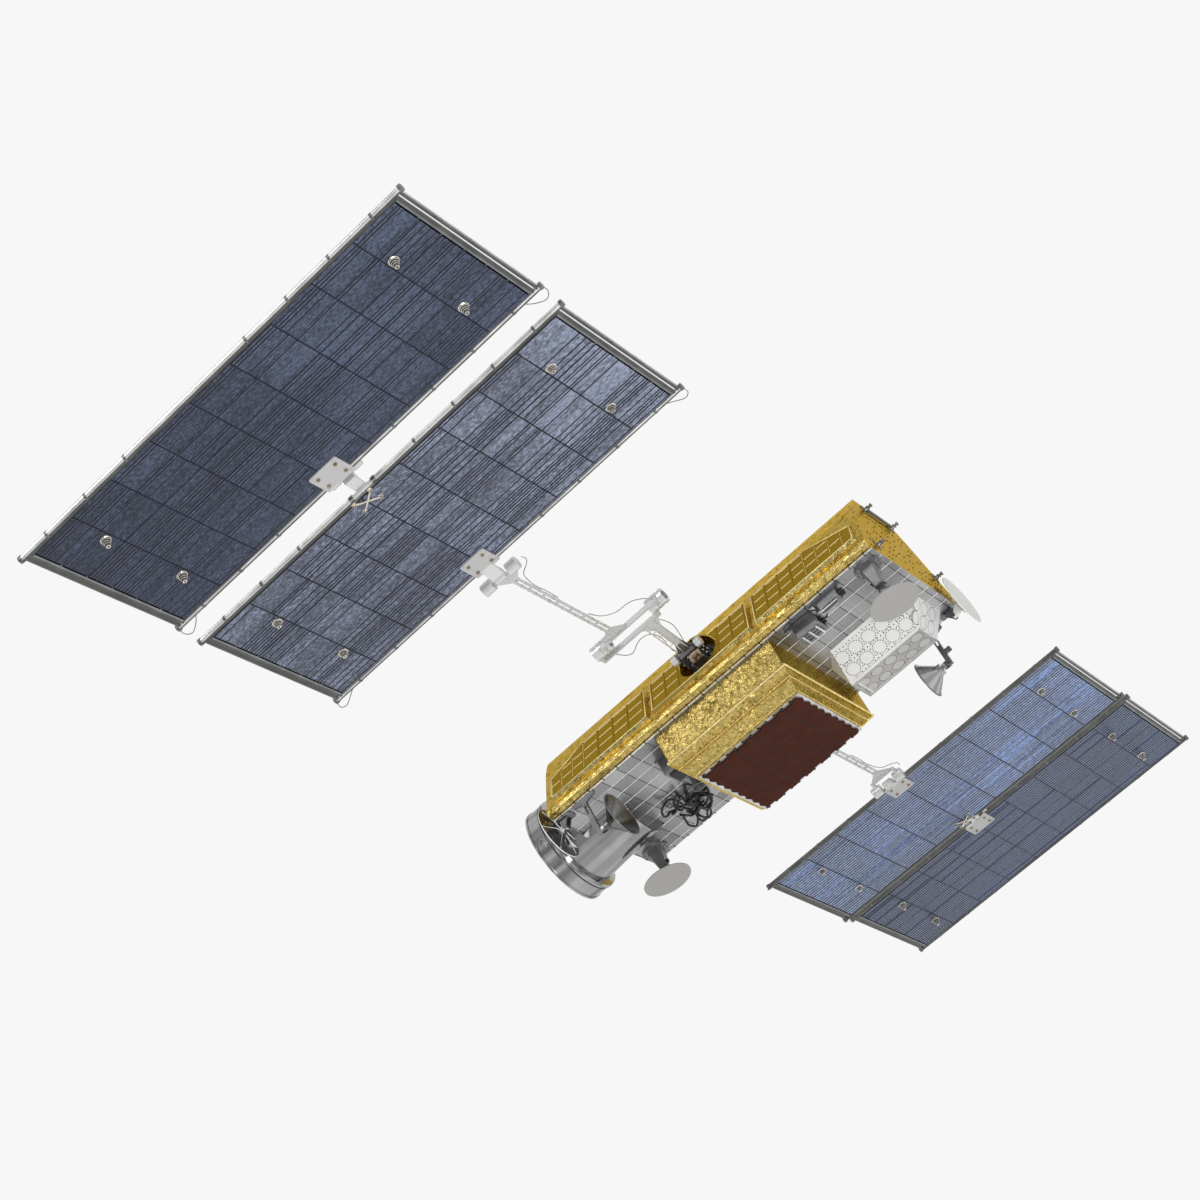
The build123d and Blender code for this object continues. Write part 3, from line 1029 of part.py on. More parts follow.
        with BuildPart() as cells:
            cells_x, cells_y = 2 * (BOARD_HALF_X - CELL_MARGIN), y1 - y0 - 2 * CELL_MARGIN
            middle = Plane(origin=(0, side * (y0 + y1) / 2, face_z - CELL_T))
            with BuildSketch(middle):
                Rectangle(cells_x, cells_y)
            extrude(amount=CELL_T)
            # gaps between the strings of cells
            with BuildSketch(middle):
                with GridLocations(cells_x / CELL_COLUMNS, 0, CELL_COLUMNS - 1, 1):
                    Rectangle(CELL_GAP, cells_y)
                with GridLocations(0, cells_y / CELL_ROWS, 1, CELL_ROWS - 1):
                    Rectangle(cells_x, CELL_GAP)
            extrude(amount=CELL_GAP_DEEP, mode=Mode.SUBTRACT)
            # room for the plate, the hold-downs and the brace
            with BuildSketch(Plane.XY.offset(face_z - CELL_T)):
                with Locations((plate_x, side * plate_y)):
                    Rectangle(plate_w + 2 * CELL_CLEAR, plate_l + 2 * CELL_CLEAR)
                for y in hold_down_ys:
                    for x in (-HOLD_DOWN_X, HOLD_DOWN_X):
                        with Locations((x, y)):
                            Circle(HOLD_DOWN_R + CELL_CLEAR)
                if panel == "inner":
                    with Locations((CROSS_X, side * CROSS_Y)):
                        with GridLocations(2 * CROSS_HALF[0], 2 * CROSS_HALF[1], 2, 2):
                            Circle(CROSS_FOOT_R + CELL_CLEAR)
            extrude(amount=CELL_T, mode=Mode.SUBTRACT)
        cells.part.label = f"cells_{panel}_{hand}"
        export_step(cells.part, f"parts/cells_{panel}_{hand}.step")
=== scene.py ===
"""Looks of the low-orbit communications satellite: finishes, foil, cells, wiring, light and camera.

Everything is in metres, in the frame of the solids: +X along the bus, +Y towards the right wing,
+Z away from the antenna deck, origin on the wing plane at the middle of the bus.
"""
import json
import math
import random

import bmesh
import bpy
from mathutils import Matrix, Vector


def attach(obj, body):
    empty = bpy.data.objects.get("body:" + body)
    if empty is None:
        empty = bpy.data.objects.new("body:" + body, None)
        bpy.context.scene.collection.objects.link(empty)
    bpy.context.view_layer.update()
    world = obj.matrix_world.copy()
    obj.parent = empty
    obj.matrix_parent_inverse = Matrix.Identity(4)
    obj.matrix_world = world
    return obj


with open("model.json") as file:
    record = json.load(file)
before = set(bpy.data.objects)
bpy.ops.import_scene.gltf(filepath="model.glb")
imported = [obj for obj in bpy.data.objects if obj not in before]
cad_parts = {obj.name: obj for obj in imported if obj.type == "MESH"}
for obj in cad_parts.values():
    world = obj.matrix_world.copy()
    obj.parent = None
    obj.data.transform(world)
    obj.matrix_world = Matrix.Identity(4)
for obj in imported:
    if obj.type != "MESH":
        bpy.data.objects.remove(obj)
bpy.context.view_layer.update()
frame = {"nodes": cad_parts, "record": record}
nodes = frame["nodes"]
dice = random.Random(4)

# --- places on the craft
HANDS = ((-1, "left"), (1, "right"))
ENDS = ((-1, "aft"), (1, "fore"))
BUS_X0, BUS_X1 = -1.264, 1.279
DECK_Z, DECK_EDGE_Y = -0.355, 0.561
BLANKETS = ((-0.950, -0.402), (-0.378, 0.428), (0.452, 0.900))   # X of the quilted wall panels
DRIVE_X, DRIVE_Z = 0.020, -0.085           # axis on which each wing turns
ROOT_Y, ROOT_Z = 0.605, -0.085             # fold axes of the right wing, from the bus outwards
MID_Y, MID_Z = 1.025, 0.030
PANEL_HINGE_Y, PANEL_HINGE_Z = 2.235, -0.035

# --- camera
CAMERA_AT = (3.7996, -12.3143, -8.2110)
CAMERA_RIGHT = (0.71985951, 0.56041898, -0.40955201)
CAMERA_UP = (0.64011289, -0.30779804, 0.70392887)
LENS_MM = 74.754
SENSOR_MM = 36.0


def linked(name, data):
    """New object in the scene."""
    thing = bpy.data.objects.new(name, data)
    bpy.context.scene.collection.objects.link(thing)
    return thing


camera_data = bpy.data.cameras.new("camera")
camera = linked("camera", camera_data)
bpy.context.scene.camera = camera
right = Vector(CAMERA_RIGHT).normalized()
up = Vector(CAMERA_UP).normalized()
back = right.cross(up)
camera.matrix_world = Matrix.Translation(CAMERA_AT) @ Matrix((right, up, back)).transposed().to_4x4()
camera_data.lens = LENS_MM
camera_data.sensor_width = SENSOR_MM
camera_data.sensor_fit = "HORIZONTAL"
camera_data.clip_end = 200.0


# --- material helpers
def new_material(name):
    """Empty node material: the material, its tree and its shader."""
    material = bpy.data.materials.new(name)
    material.use_nodes = True
    tree = material.node_tree
    tree.nodes.clear()
    output = tree.nodes.new("ShaderNodeOutputMaterial")
    shader = tree.nodes.new("ShaderNodeBsdfPrincipled")
    tree.links.new(shader.outputs["BSDF"], output.inputs["Surface"])
    return material, tree, shader


def plug(tree, socket, value):
    """Links a socket to an input, or sets the input to a plain value."""
    if isinstance(value, bpy.types.NodeSocket):
        tree.links.new(value, socket)
    else:
        socket.default_value = value


def add(tree, kind, **settings):
    """A node of that kind, with attributes by name and inputs as in_NAME or in_NUMBER."""
    node = tree.nodes.new("ShaderNode" + kind)
    for key, value in settings.items():
        if key.startswith("in_"):
            socket = key[3:]
            socket = int(socket) if socket.isdigit() else socket.replace("_", " ")
            plug(tree, node.inputs[socket], value)
        else:
            setattr(node, key, value)
    return node


def maths(tree, operation, *values, kind="Math"):
    inputs = {f"in_{i}": value for i, value in enumerate(values)}
    return add(tree, kind, operation=operation, **inputs).outputs[0]


def times(tree, first, second):
    return maths(tree, "MULTIPLY", first, second)


def mul_add(tree, value, factor, extra):
    return maths(tree, "MULTIPLY_ADD", value, factor, extra)


def larger(tree, first, second):
    return maths(tree, "MAXIMUM", first, second)


def dress(tree, shader, **inputs):
    """Links or sets inputs of a shader, each named with _ for a space."""
    for name, value in inputs.items():
        plug(tree, shader.inputs[name.replace("_", " ")], value)


def ramp(tree, value, stops):
    """Colour ramp: stops is a list of (position, (r, g, b))."""
    node = add(tree, "ValToRGB", in_0=value)
    elements = node.color_ramp.elements
    while len(elements) < len(stops):
        elements.new(0.5)
    for element, (place, colour) in zip(elements, stops):
        element.position = place
        element.color = (*colour, 1.0)
    return node.outputs["Color"]


def mix(tree, share, first, second):
    """Mixed colour: share is how much of the second shows."""
    node = add(tree, "Mix", data_type="RGBA", in_0=share)
    for socket, colour in ((node.inputs[6], first), (node.inputs[7], second)):
        plug(tree, socket, colour if isinstance(colour, bpy.types.NodeSocket) else (*colour, 1.0))
    return node.outputs[2]


def position(tree):
    """Object coordinates, as a vector socket."""
    return add(tree, "TexCoord").outputs["Object"]


def axes(tree, vector):
    """The three parts of a vector, as sockets."""
    return add(tree, "SeparateXYZ", in_0=vector).outputs


def noise(tree, vector, scale, detail=3.0, roughness=0.5, distortion=0.0):
    return add(tree, "TexNoise", in_Vector=vector, in_Scale=scale, in_Detail=detail,
               in_Roughness=roughness, in_Distortion=distortion).outputs["Fac"]


def bump(tree, height, distance, strength=1.0, normal=None):
    node = add(tree, "Bump", in_Height=height, in_Distance=distance, in_Strength=strength)
    if normal is not None:
        tree.links.new(normal, node.inputs["Normal"])
    return node.outputs["Normal"]


def dot_product(tree, first, second):
    node = add(tree, "VectorMath", operation="DOT_PRODUCT", in_0=first, in_1=second)
    return node.outputs["Value"]


def creases(tree, vector, scale, warp):
    """Height of crumpled film: flat facets that each lean their own way."""
    wobble = add(tree, "TexNoise", in_Vector=vector, in_Scale=scale * 0.6, in_Detail=2.0).outputs["Color"]
    moved = maths(tree, "MULTIPLY_ADD", wobble, (warp, warp, warp), vector, kind="VectorMath")
    cell = add(tree, "TexVoronoi", in_Vector=moved, in_Scale=scale)
    lean = maths(tree, "SUBTRACT", cell.outputs["Color"], (0.5, 0.5, 0.5), kind="VectorMath")
    local = maths(tree, "SUBTRACT", moved, cell.outputs["Position"], kind="VectorMath")
    return times(tree, dot_product(tree, lean, local), scale)


def stripe(tree, value, pitch, width, middle=0.0):
    """1 on lines that repeat every pitch, one of them round the middle; 0 between them."""
    shifted = maths(tree, "ADD", value, 500.0 * pitch - middle + width / 2)
    return maths(tree, "LESS_THAN", maths(tree, "MODULO", shifted, pitch), width)


def step_number(tree, value, pitch, start=0.0):
    """Number of the pitch in which a value lies."""
    return maths(tree, "FLOOR", maths(tree, "DIVIDE", maths(tree, "SUBTRACT", value, start), pitch))


def between(tree, value, low, high):
    """1 where low < value < high."""
    return times(tree, maths(tree, "GREATER_THAN", value, low),
                 maths(tree, "LESS_THAN", value, high))


def lot(tree, *parts):
    """Random number that stays the same wherever the given numbers do."""
    spot = add(tree, "CombineXYZ", **{f"in_{i}": part for i, part in enumerate(parts)}).outputs[0]
    return add(tree, "TexWhiteNoise", in_Vector=spot).outputs["Value"]


# --- metals, paint and plastic
def satin_metal(name, colour, roughness, metallic=0.8, variation=0.25, grain_mm=0.03):
    """Machined, anodised or painted surface with faint mottling, fine grain and uneven gloss."""
    material, tree, shader = new_material(name)
    place = position(tree)
    low = tuple(c * (1 - variation) for c in colour)
    high = tuple(min(1.0, c * (1 + variation)) for c in colour)
    grain = noise(tree, place, 70.0, 1.0)
    dress(tree, shader, Metallic=metallic,
          Base_Color=ramp(tree, noise(tree, place, 9.0, 4.0), [(0.3, low), (0.7, high)]),
          Roughness=mul_add(tree, grain, 0.16, roughness - 0.08),
          Normal=bump(tree, grain, grain_mm / 1000, 0.4))
    return material


FOIL_BRIGHT = (0.67, 0.505, 0.17)
# colour of the shade painted into the film's folds
FOIL_FOLD_SHADE = (0.29, 0.205, 0.042)
BLANKET_OLIVE = (0.36, 0.245, 0.05)
GOLD_EDGE = (0.95, 0.72, 0.30)   # tint of the film at grazing angles
TAUT_Z = (-0.250, 0.055)         # height of the taut film on the quilted panels
TAUT_IN = 0.005                  # its distance from their ends


def on_blanket(tree, place):
    """1 on the quilted panels of the side walls, 0 elsewhere."""
    x, _, z = axes(tree, place)
    side = axes(tree, add(tree, "NewGeometry").outputs["Normal"])[1]
    walls = maths(tree, "GREATER_THAN", maths(tree, "ABSOLUTE", side), 0.6)
    aft, mid, fore = [between(tree, x, x0 + TAUT_IN, x1 - TAUT_IN) for x0, x1 in BLANKETS]
    along = larger(tree, larger(tree, aft, mid), fore)
    return times(tree, times(tree, between(tree, z, *TAUT_Z), along), walls)


def crumpled_foil(name, bright, deep, size, depth_mm, smooth=0.0):
    """Gold film: leaning facets of two sizes over fine ripples, with shade painted into its colour where
    it lies in folds.

    smooth is 1 where it is drawn taut, or "walls" for taut on the quilted panels only.
    """
    material, tree, shader = new_material(name)
    place = position(tree)
    coarse = creases(tree, place, size, 0.5 / size)
    fine = creases(tree, place, size * 2.2, 0.6 / size)
    ripple = noise(tree, place, size * 2.5, 5.0, 0.65, 1.2)
    if smooth == "walls":
        smooth = on_blanket(tree, place)
    amount = mul_add(tree, smooth, -0.88, 1.0)
    shape = bump(tree, coarse, depth_mm / 1000, amount)
    shape = bump(tree, fine, depth_mm / 2600, amount, shape)
    shape = bump(tree, ripple, depth_mm / 3000, 0.5, shape)
    # painted shade: the colour darkens where the creases dip, standing in for the shade in the folds
    fold = mul_add(tree, coarse, 1.1, 0.5)
    tone = mul_add(tree, fold, 0.25, times(tree, ripple, 0.75))
    film = ramp(tree, tone, [(0.36, deep), (0.50, bright)])
    gloss = mul_add(tree, ripple, 0.2, 0.17)
    dress(tree, shader, Metallic=1.0, Specular_Tint=(*GOLD_EDGE, 1.0), Normal=shape,
          Base_Color=mix(tree, smooth, film, BLANKET_OLIVE),
          Roughness=mul_add(tree, smooth, 0.16, gloss))
    return material


TILE_X0, TILE_X = -0.005, 0.125   # a joint between the deck's tiles and their pitch, in X and in Y
TILE_Y0, TILE_Y = -0.553, 0.118
PALE_JOINT, DARK_JOINT = 0.0065, 0.006


def mirror_tiles():
    """Mirror tiles, each a little off its neighbours, with pale joints along X and dark cross joints."""
    material, tree, shader = new_material("mirror_tiles")
    place = position(tree)
    x, y, _ = axes(tree, place)
    own = lot(tree, step_number(tree, x, TILE_X, TILE_X0), step_number(tree, y, TILE_Y, TILE_Y0))
    cloud = mul_add(tree, noise(tree, place, 1.6, 1.0), 1.4, -0.45)
    shade = mul_add(tree, own, 0.35, cloud)
    body = ramp(tree, shade, [(0.15, (0.20, 0.20, 0.20)), (0.75, (0.50, 0.50, 0.50))])
    pale = stripe(tree, y, TILE_Y, PALE_JOINT, TILE_Y0)
    dark = larger(tree, stripe(tree, x, TILE_X, DARK_JOINT, TILE_X0),
                 stripe(tree, y, TILE_Y, 0.004, TILE_Y0 + 0.006))
    body = mix(tree, times(tree, dark, 0.85), body, (0.05, 0.045, 0.035))
    dress(tree, shader, Base_Color=mix(tree, pale, body, (0.92, 0.92, 0.90)),
          Roughness=mul_add(tree, noise(tree, place, 30.0), 0.14, 0.22),
          Metallic=mul_add(tree, pale, -0.7, 0.7),
          Normal=bump(tree, noise(tree, place, 12.0, 2.0), 0.0012, 0.5))
    return material


CELL_X0, CELL_CROSS_PITCH = -1.246, 2.492 / 9
CELL_JOINT = 0.008


def solar_cells(name, tint, row_share, cell_share, gleam, pitch=0.0207, width=0.0095, glint=0.005):
    """Solar cells under glass: uneven dark lines along X, each with a painted highlight beside it, cross
    lines, embossed mottling.
    """
    material, tree, shader = new_material(name)
    place = position(tree)
    x, y, _ = axes(tree, place)
    row = step_number(tree, y, pitch)
    string = step_number(tree, x, CELL_CROSS_PITCH, CELL_X0)
    picked = larger(tree, maths(tree, "LESS_THAN", lot(tree, row), row_share),
                   maths(tree, "LESS_THAN", lot(tree, row, string, 5.0), cell_share))
    middle = pitch / 2
    line = times(tree, stripe(tree, y, pitch, width, middle), picked)
    # painted highlight: a pale line beside each dark line, for light catching its embossed edge; gleam
    # sets how much shows
    pale = times(tree, picked,
                 stripe(tree, y, pitch, glint, middle + width / 2 + 0.4 * glint))
    dark = larger(tree, line, stripe(tree, x, CELL_CROSS_PITCH, CELL_JOINT, CELL_X0))
    block = step_number(tree, y, 3 * pitch)
    flattened = maths(tree, "MULTIPLY", place, (1.0, 2.0, 1.0), kind="VectorMath")
    mottle = noise(tree, flattened, 45.0, 5.0, 0.7)
    wide = noise(tree, place, 0.9, 2.0)
    # painted sheen: the cells grow lighter towards +X, standing in for a broad reflection
    along = mul_add(tree, x, 0.022, times(tree, wide, 0.22))
    tone = mul_add(tree, lot(tree, block, string, 3.0), 0.07,
                 mul_add(tree, mottle, 0.75, along))
    body = ramp(tree, tone, [(0.40, tuple(c * 0.38 for c in tint)), (0.52, tint),
                             (0.64, tuple(c * 2.4 for c in tint))])
    body = mix(tree, times(tree, pale, gleam), body, (0.52, 0.60, 0.78))
    relief = bump(tree, mottle, 0.010, 0.8)
    dress(tree, shader, Metallic=0.60, Coat_Weight=0.12, Coat_Roughness=0.15,
          Base_Color=mix(tree, dark, body, (0.010, 0.013, 0.030)),
          Roughness=mul_add(tree, mottle, 0.30, 0.20),
          Normal=bump(tree, dark, -0.0012, 0.7, relief))
    return material


def array_face():
    """Matt brown radiating tiles with a fine grain."""
    material, tree, shader = new_material("array_brown")
    place = position(tree)
    grain = noise(tree, place, 240.0, 2.0)
    brown = ramp(tree, noise(tree, place, 14.0, 3.0),
                 [(0.3, (0.048, 0.012, 0.006)), (0.7, (0.066, 0.017, 0.008))])
    dress(tree, shader, Base_Color=brown, Roughness=mul_add(tree, grain, 0.2, 0.6),
          Normal=bump(tree, grain, 0.0006, 0.5), Specular_IOR_Level=0.1)
    return material


def dish_face(name, colour):
    """Painted dish: dead matt with a fine stipple."""
    material, tree, shader = new_material(name)
    grain = noise(tree, position(tree), 210.0, 3.0, 0.7)
    low = tuple(c * 0.90 for c in colour)
    dress(tree, shader, Base_Color=ramp(tree, grain, [(0.35, low), (0.65, colour)]),
          Roughness=mul_add(tree, grain, 0.2, 0.6),
          Normal=bump(tree, grain, 0.0005, 0.5))
    return material


foil = crumpled_foil("bus_foil", FOIL_BRIGHT, FOIL_FOLD_SHADE, 20.0, 7.0, "walls")
quilt_film = crumpled_foil("quilt_film", FOIL_BRIGHT, FOIL_FOLD_SHADE, 20.0, 7.0, 1.0)
# duller copy of the foil for the blankets' narrow sides: painted shade for the dull olive they fall into
rim_shaded_film = crumpled_foil("rim_shaded_film", (0.61, 0.485, 0.185), (0.27, 0.208, 0.06), 20.0, 7.0)
housing_foil = crumpled_foil("housing_foil", FOIL_BRIGHT, FOIL_FOLD_SHADE, 34.0, 10.0)
# darker copy of the housing foil for its +X end: painted shade
housing_end_foil = crumpled_foil("housing_end_foil", (0.52, 0.39, 0.12), (0.20, 0.14, 0.03), 30.0, 7.0)
seam_gold = crumpled_foil("seam_gold", (1.0, 0.86, 0.42), (0.85, 0.64, 0.24), 60.0, 3.0)
black_metal = satin_metal("black_metal", (0.022, 0.022, 0.024), 0.30, 0.7)
dark_metal = satin_metal("dark_metal", (0.17, 0.17, 0.175), 0.30)
end_foil = crumpled_foil("end_foil", (0.62, 0.46, 0.13), (0.40, 0.29, 0.07), 26.0, 3.0)
grey_metal = satin_metal("grey_metal", (0.22, 0.225, 0.23), 0.34)
polished = satin_metal("polished_cone", (0.34, 0.34, 0.34), 0.11, 1.0, 0.08)
light_metal = satin_metal("light_metal", (0.66, 0.66, 0.655), 0.32)
bright_metal = satin_metal("bright_metal", (0.64, 0.64, 0.635), 0.30, 0.45, 0.03, grain_mm=0.01)
plate_metal = satin_metal("plate_metal", (0.50, 0.50, 0.495), 0.42, 0.3, 0.03, grain_mm=0.02)
inside_metal = satin_metal("dish_inside", (0.12, 0.12, 0.12), 0.12, 0.9, 0.2)
yoke_metal = satin_metal("yoke_metal", (0.56, 0.56, 0.55), 0.42, 0.25, 0.03, grain_mm=0.01)
tower_metal = satin_metal("tower_metal", (0.22, 0.22, 0.225), 0.36, 0.6, 0.12, grain_mm=0.01)
dot_grey = satin_metal("dot_grey", (0.055, 0.055, 0.055), 0.5, 0.0)
white_paint = satin_metal("white_paint", (0.80, 0.795, 0.775), 0.5, 0.0, 0.03)
brass = satin_metal("brass", (0.34, 0.26, 0.17), 0.3, 0.85)
warm_metal = satin_metal("warm_metal", (0.72, 0.67, 0.58), 0.24, 0.9, 0.2)
black_jacket = satin_metal("black_jacket", (0.012, 0.012, 0.013), 0.35, 0.0, 0.2)
rail_laminate = satin_metal("rail_laminate", (0.10, 0.10, 0.095), 0.36, 0.6)
pale_wire = satin_metal("pale_wire", (0.30, 0.30, 0.28), 0.4, 0.1)
seam_pale = satin_metal("seam_pale", (0.92, 0.76, 0.36), 0.40, 0.35, 0.08)
# grey copies of the box's white paint for its lowest faces and the discs on them: painted shade
patch_disc_shaded = satin_metal("patch_disc_shaded", (0.50, 0.49, 0.47), 0.5, 0.0, 0.08)
joint_brown = satin_metal("joint_brown", (0.010, 0.003, 0.002), 0.8, 0.0)
tie_brown = satin_metal("tie_brown", (0.10, 0.07, 0.02), 0.5, 0.3)
patch_shaded_grey = satin_metal("patch_shaded_grey", (0.40, 0.39, 0.375), 0.5, 0.0, 0.12)
dish_grey = dish_face("dish_grey", (0.40, 0.39, 0.375))
dish_white = dish_face("dish_white", (0.97, 0.95, 0.91))

MATERIALS = {
    "foil": foil,
    "mirror_tile": mirror_tiles(),
    "dark_metal": dark_metal,
    "grey_metal": grey_metal,
    "light_metal": light_metal,
    "white_paint": white_paint,
    "array_brown": array_face(),
    # the cells are alike on every panel; tint, share of dark lines and gleam differ per panel as painted
    # reflection and shade
    "cell": solar_cells("cells_right", (0.135, 0.200, 0.370), 0.74, 0.45, 1.0, 0.031, 0.0115, 0.007),
    "black_jacket": black_jacket,
    "carbon": rail_laminate,
}
# nodes whose finish differs a little from their slot's
SPECIAL = {
    "array_housing": housing_foil,
    "launch_cone": polished,
    **{f"yoke_{part}_{hand}": yoke_metal for part in ("inner", "outer") for side, hand in HANDS},
    **{f"gimbal_{tag}_base": tower_metal for tag in "ad"},
    **{f"dish_{tag}": dish_grey for tag in "ad"},
    **{f"end_dish_{end}": dish_white for way, end in ENDS},
    # painted reflection and shade: each panel's copy of the cells has its own tint, share of dark lines
    # and highlight
    "cells_outer_right": solar_cells("cells_outer_right", (0.020, 0.038, 0.100), 0.74, 0.45, 0.8,
                                     0.031, 0.0115, 0.006),
    "cells_outer_left": solar_cells("cells_outer_left", (0.045, 0.056, 0.092), 0.24, 0.18, 0.10),
    "cells_inner_left": solar_cells("cells_inner_left", (0.155, 0.175, 0.240), 0.28, 0.24, 0.12),
    # the aft horn's metal is darker than the fore horn's: painted shade for the inside of its mouth
    "horn_aft": satin_metal("horn_metal", (0.17, 0.17, 0.17), 0.2, 0.95, 0.1),
    "horn_fore": satin_metal("horn_metal_fore", (0.46, 0.46, 0.46), 0.2, 0.95, 0.1),
}
for row in frame["record"]["subparts"]:
    thing = nodes[row["node"]]
    thing.data.materials.clear()
    thing.data.materials.append(SPECIAL.get(row["node"], MATERIALS[row["material_slot"]]))


# --- mesh helpers
def piece(name, body, build, finish, smooth=False):
    """A mesh made by build(bm) that rides on one body of the solids."""
    mesh = bpy.data.meshes.new(name)
    bm = bmesh.new()
    build(bm)
    bm.to_mesh(mesh)
    bm.free()
    mesh.materials.append(finish)
    if smooth:
        mesh.shade_smooth()
    thing = linked(name, mesh)
    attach(thing, body)
    return thing


def pair(name, body, build, finish, smooth=False):
    """A piece on either hand, made by build(bm, side), on the bus or on that hand's body."""
    return [piece(f"{name}_{hand}", body if body == "bus" else f"{body}_{hand}",
                  lambda bm: build(bm, side), finish, smooth) for side, hand in HANDS]


def basis(along, hint=(0.0, 0.0, 1.0)):
    """Rotation whose third column points along a direction."""
    third = Vector(along).normalized()
    first = Vector(hint).cross(third)
    if first.length < 1e-4:
        first = Vector((1.0, 0.0, 0.0)).cross(third)
    first.normalize()
    second = third.cross(first)
    return Matrix((first, second, third)).transposed()


def put_box(bm, centre, size, turn=None):
    """Box of that size; turn is a 3x3 rotation."""
    matrix = Matrix.Translation(centre)
    if turn is not None:
        matrix = matrix @ turn.to_4x4()
    bmesh.ops.create_cube(bm, size=1.0, matrix=matrix @ Matrix.Diagonal((*size, 1.0)))


def put_rod(bm, start, end, radius, sides=20):
    """Round rod between two points."""
    start, end = Vector(start), Vector(end)
    matrix = Matrix.Translation((start + end) / 2) @ basis(end - start).to_4x4()
    bmesh.ops.create_cone(bm, cap_ends=True, segments=sides, radius1=radius, radius2=radius,
                          depth=(end - start).length, matrix=matrix)


def put_pin(bm, start, reach, radius, sides=20):
    """Round rod that starts at a point and reaches as far as a vector says."""
    put_rod(bm, start, Vector(start) + Vector(reach), radius, sides)


def close_rings(bm, rings):
    """Faces between neighbouring rings of corners, and a cap at either end."""
    sides = len(rings[0])
    for low, high in zip(rings, rings[1:]):
        for i in range(sides):
            j = (i + 1) % sides
            bm.faces.new((low[i], low[j], high[j], high[i]))
    bm.faces.new(list(reversed(rings[0])))
    bm.faces.new(rings[-1])


def circle(radius, sides, height=0.0):
    """Points round the third axis."""
    return [Vector((radius * math.cos(i * math.tau / sides), radius * math.sin(i * math.tau / sides),
                    height)) for i in range(sides)]


def put_turned(bm, start, along, profile, sides=28):
    """Turned part: profile is a list of (distance along the axis, radius)."""
    turn = basis(along)
    close_rings(bm, [[bm.verts.new(Vector(start) + turn @ spot) for spot in circle(radius, sides, reach)]
                     for reach, radius in profile])


def smoothed(points, steps=8):
    """Catmull-Rom curve through the points."""
    points = [Vector(p) for p in points]
    ends = [2 * points[0] - points[1]] + points + [2 * points[-1] - points[-2]]
    line = []
    for a, b, c, d in zip(ends, ends[1:], ends[2:], ends[3:]):
        for step in range(steps):
            t = step / steps
            line.append(0.5 * ((2 * b) + (c - a) * t + (2 * a - 5 * b + 4 * c - d) * t * t
                               + (3 * b - a - 3 * c + d) * t ** 3))
    return line + [points[-1]]


TUBE_HINT = (0.31, 0.22, 0.92)   # keeps the turn of a tube's rings steady along its route


def put_tube(bm, line, radius, sides=8):
    """Round tube along a line of points."""
    rings = []
    for i, spot in enumerate(line):
        turn = basis(line[min(i + 1, len(line) - 1)] - line[max(i - 1, 0)], TUBE_HINT)
        rings.append([bm.verts.new(spot + turn @ corner) for corner in circle(radius, sides)])
    close_rings(bm, rings)


def wire(name, body, points, radius, finish):
    piece(name, body, lambda bm: put_tube(bm, smoothed(points), radius), finish, True)


def paint(node, finish, chosen):
    """Gives a finish to those faces of a solid for which chosen(centre, normal) holds."""
    mesh = nodes[node].data
    mesh.materials.append(finish)
    index = len(mesh.materials) - 1
    for face in mesh.polygons:
        if chosen(face.center, face.normal):
            face.material_index = index


# --- bus: blankets, edges, end face
WALL_FOOT_Y, WALL_FOOT_Z = 0.600, -0.300
WALL_SLOPE = 0.265 / 0.400
BLANKET_LIFT, BLANKET_MID_Z = 0.0243, -0.0975
BLANKET_SIDE_Z = (-0.280, 0.080)
BLANKET_HALF, WELT_IN, WELT_R = 0.172, 0.016, 0.0034
QUILT_PITCH, QUILT_BORDER = 0.112, 0.026
SEAM_ROWS = (-0.0543, 0.0543, 0.155)
SEAM_GAP, SEAM_WIDTH, SEAM_HEIGHT = 0.020, 0.0080, 0.005
SEAM_CLEAR = 0.185               # seams keep this far from the axis of the drive
# towards which end, |X| where the tail starts and where it ends, row of its upper end corner
TAILS = ((-1, 0.935, 1.192, 0.050), (1, 0.885, 1.222, 0.004))
TAIL_COLUMNS, TAIL_PITCH, TAIL_LAP = 3, 0.093, 0.011
TAIL_EDGE, FILM_PAST_WELT = 0.0125, 0.003


def on_wall(side, x, row):
    """Point on the face of the blankets, row metres above their middle line, and the wall's axes."""
    along = Vector((0.0, -side * WALL_SLOPE, 1.0)).normalized()
    outward = Vector((0.0, side * 1.0, WALL_SLOPE)).normalized()
    foot = Vector((x, side * (WALL_FOOT_Y - (BLANKET_MID_Z - WALL_FOOT_Z) * WALL_SLOPE),
                   BLANKET_MID_Z))
    return foot + along * row + outward * BLANKET_LIFT, along, outward


def from_drive(spot):
    return math.hypot(spot.x - DRIVE_X, spot.z - DRIVE_Z)


def blanket_side(c, n):
    """Whether a face of the bus is one of the narrow sides of the blankets."""
    low, high = BLANKET_SIDE_Z
    if abs(c.x) > 0.960 or not low < c.z < high or from_drive(c) < 0.200:
        return False
    outward = Vector((0.0, math.copysign(1.0, c.y), WALL_SLOPE)).normalized()
    return abs(n.dot(outward)) < 0.95


def tail_top(way, start, end, end_row, x):
    """Row of the sloping upper edge of a blanket's tail at x."""
    share = (way * x - start) / (end - start)
    return BLANKET_HALF + min(1.0, max(0.0, share)) * (end_row - BLANKET_HALF)


def tail_columns(way, start, *rest):
    """X of the borders between the columns of a tail."""
    return [way * (start - TAIL_LAP + column * TAIL_PITCH) for column in range(TAIL_COLUMNS + 1)]


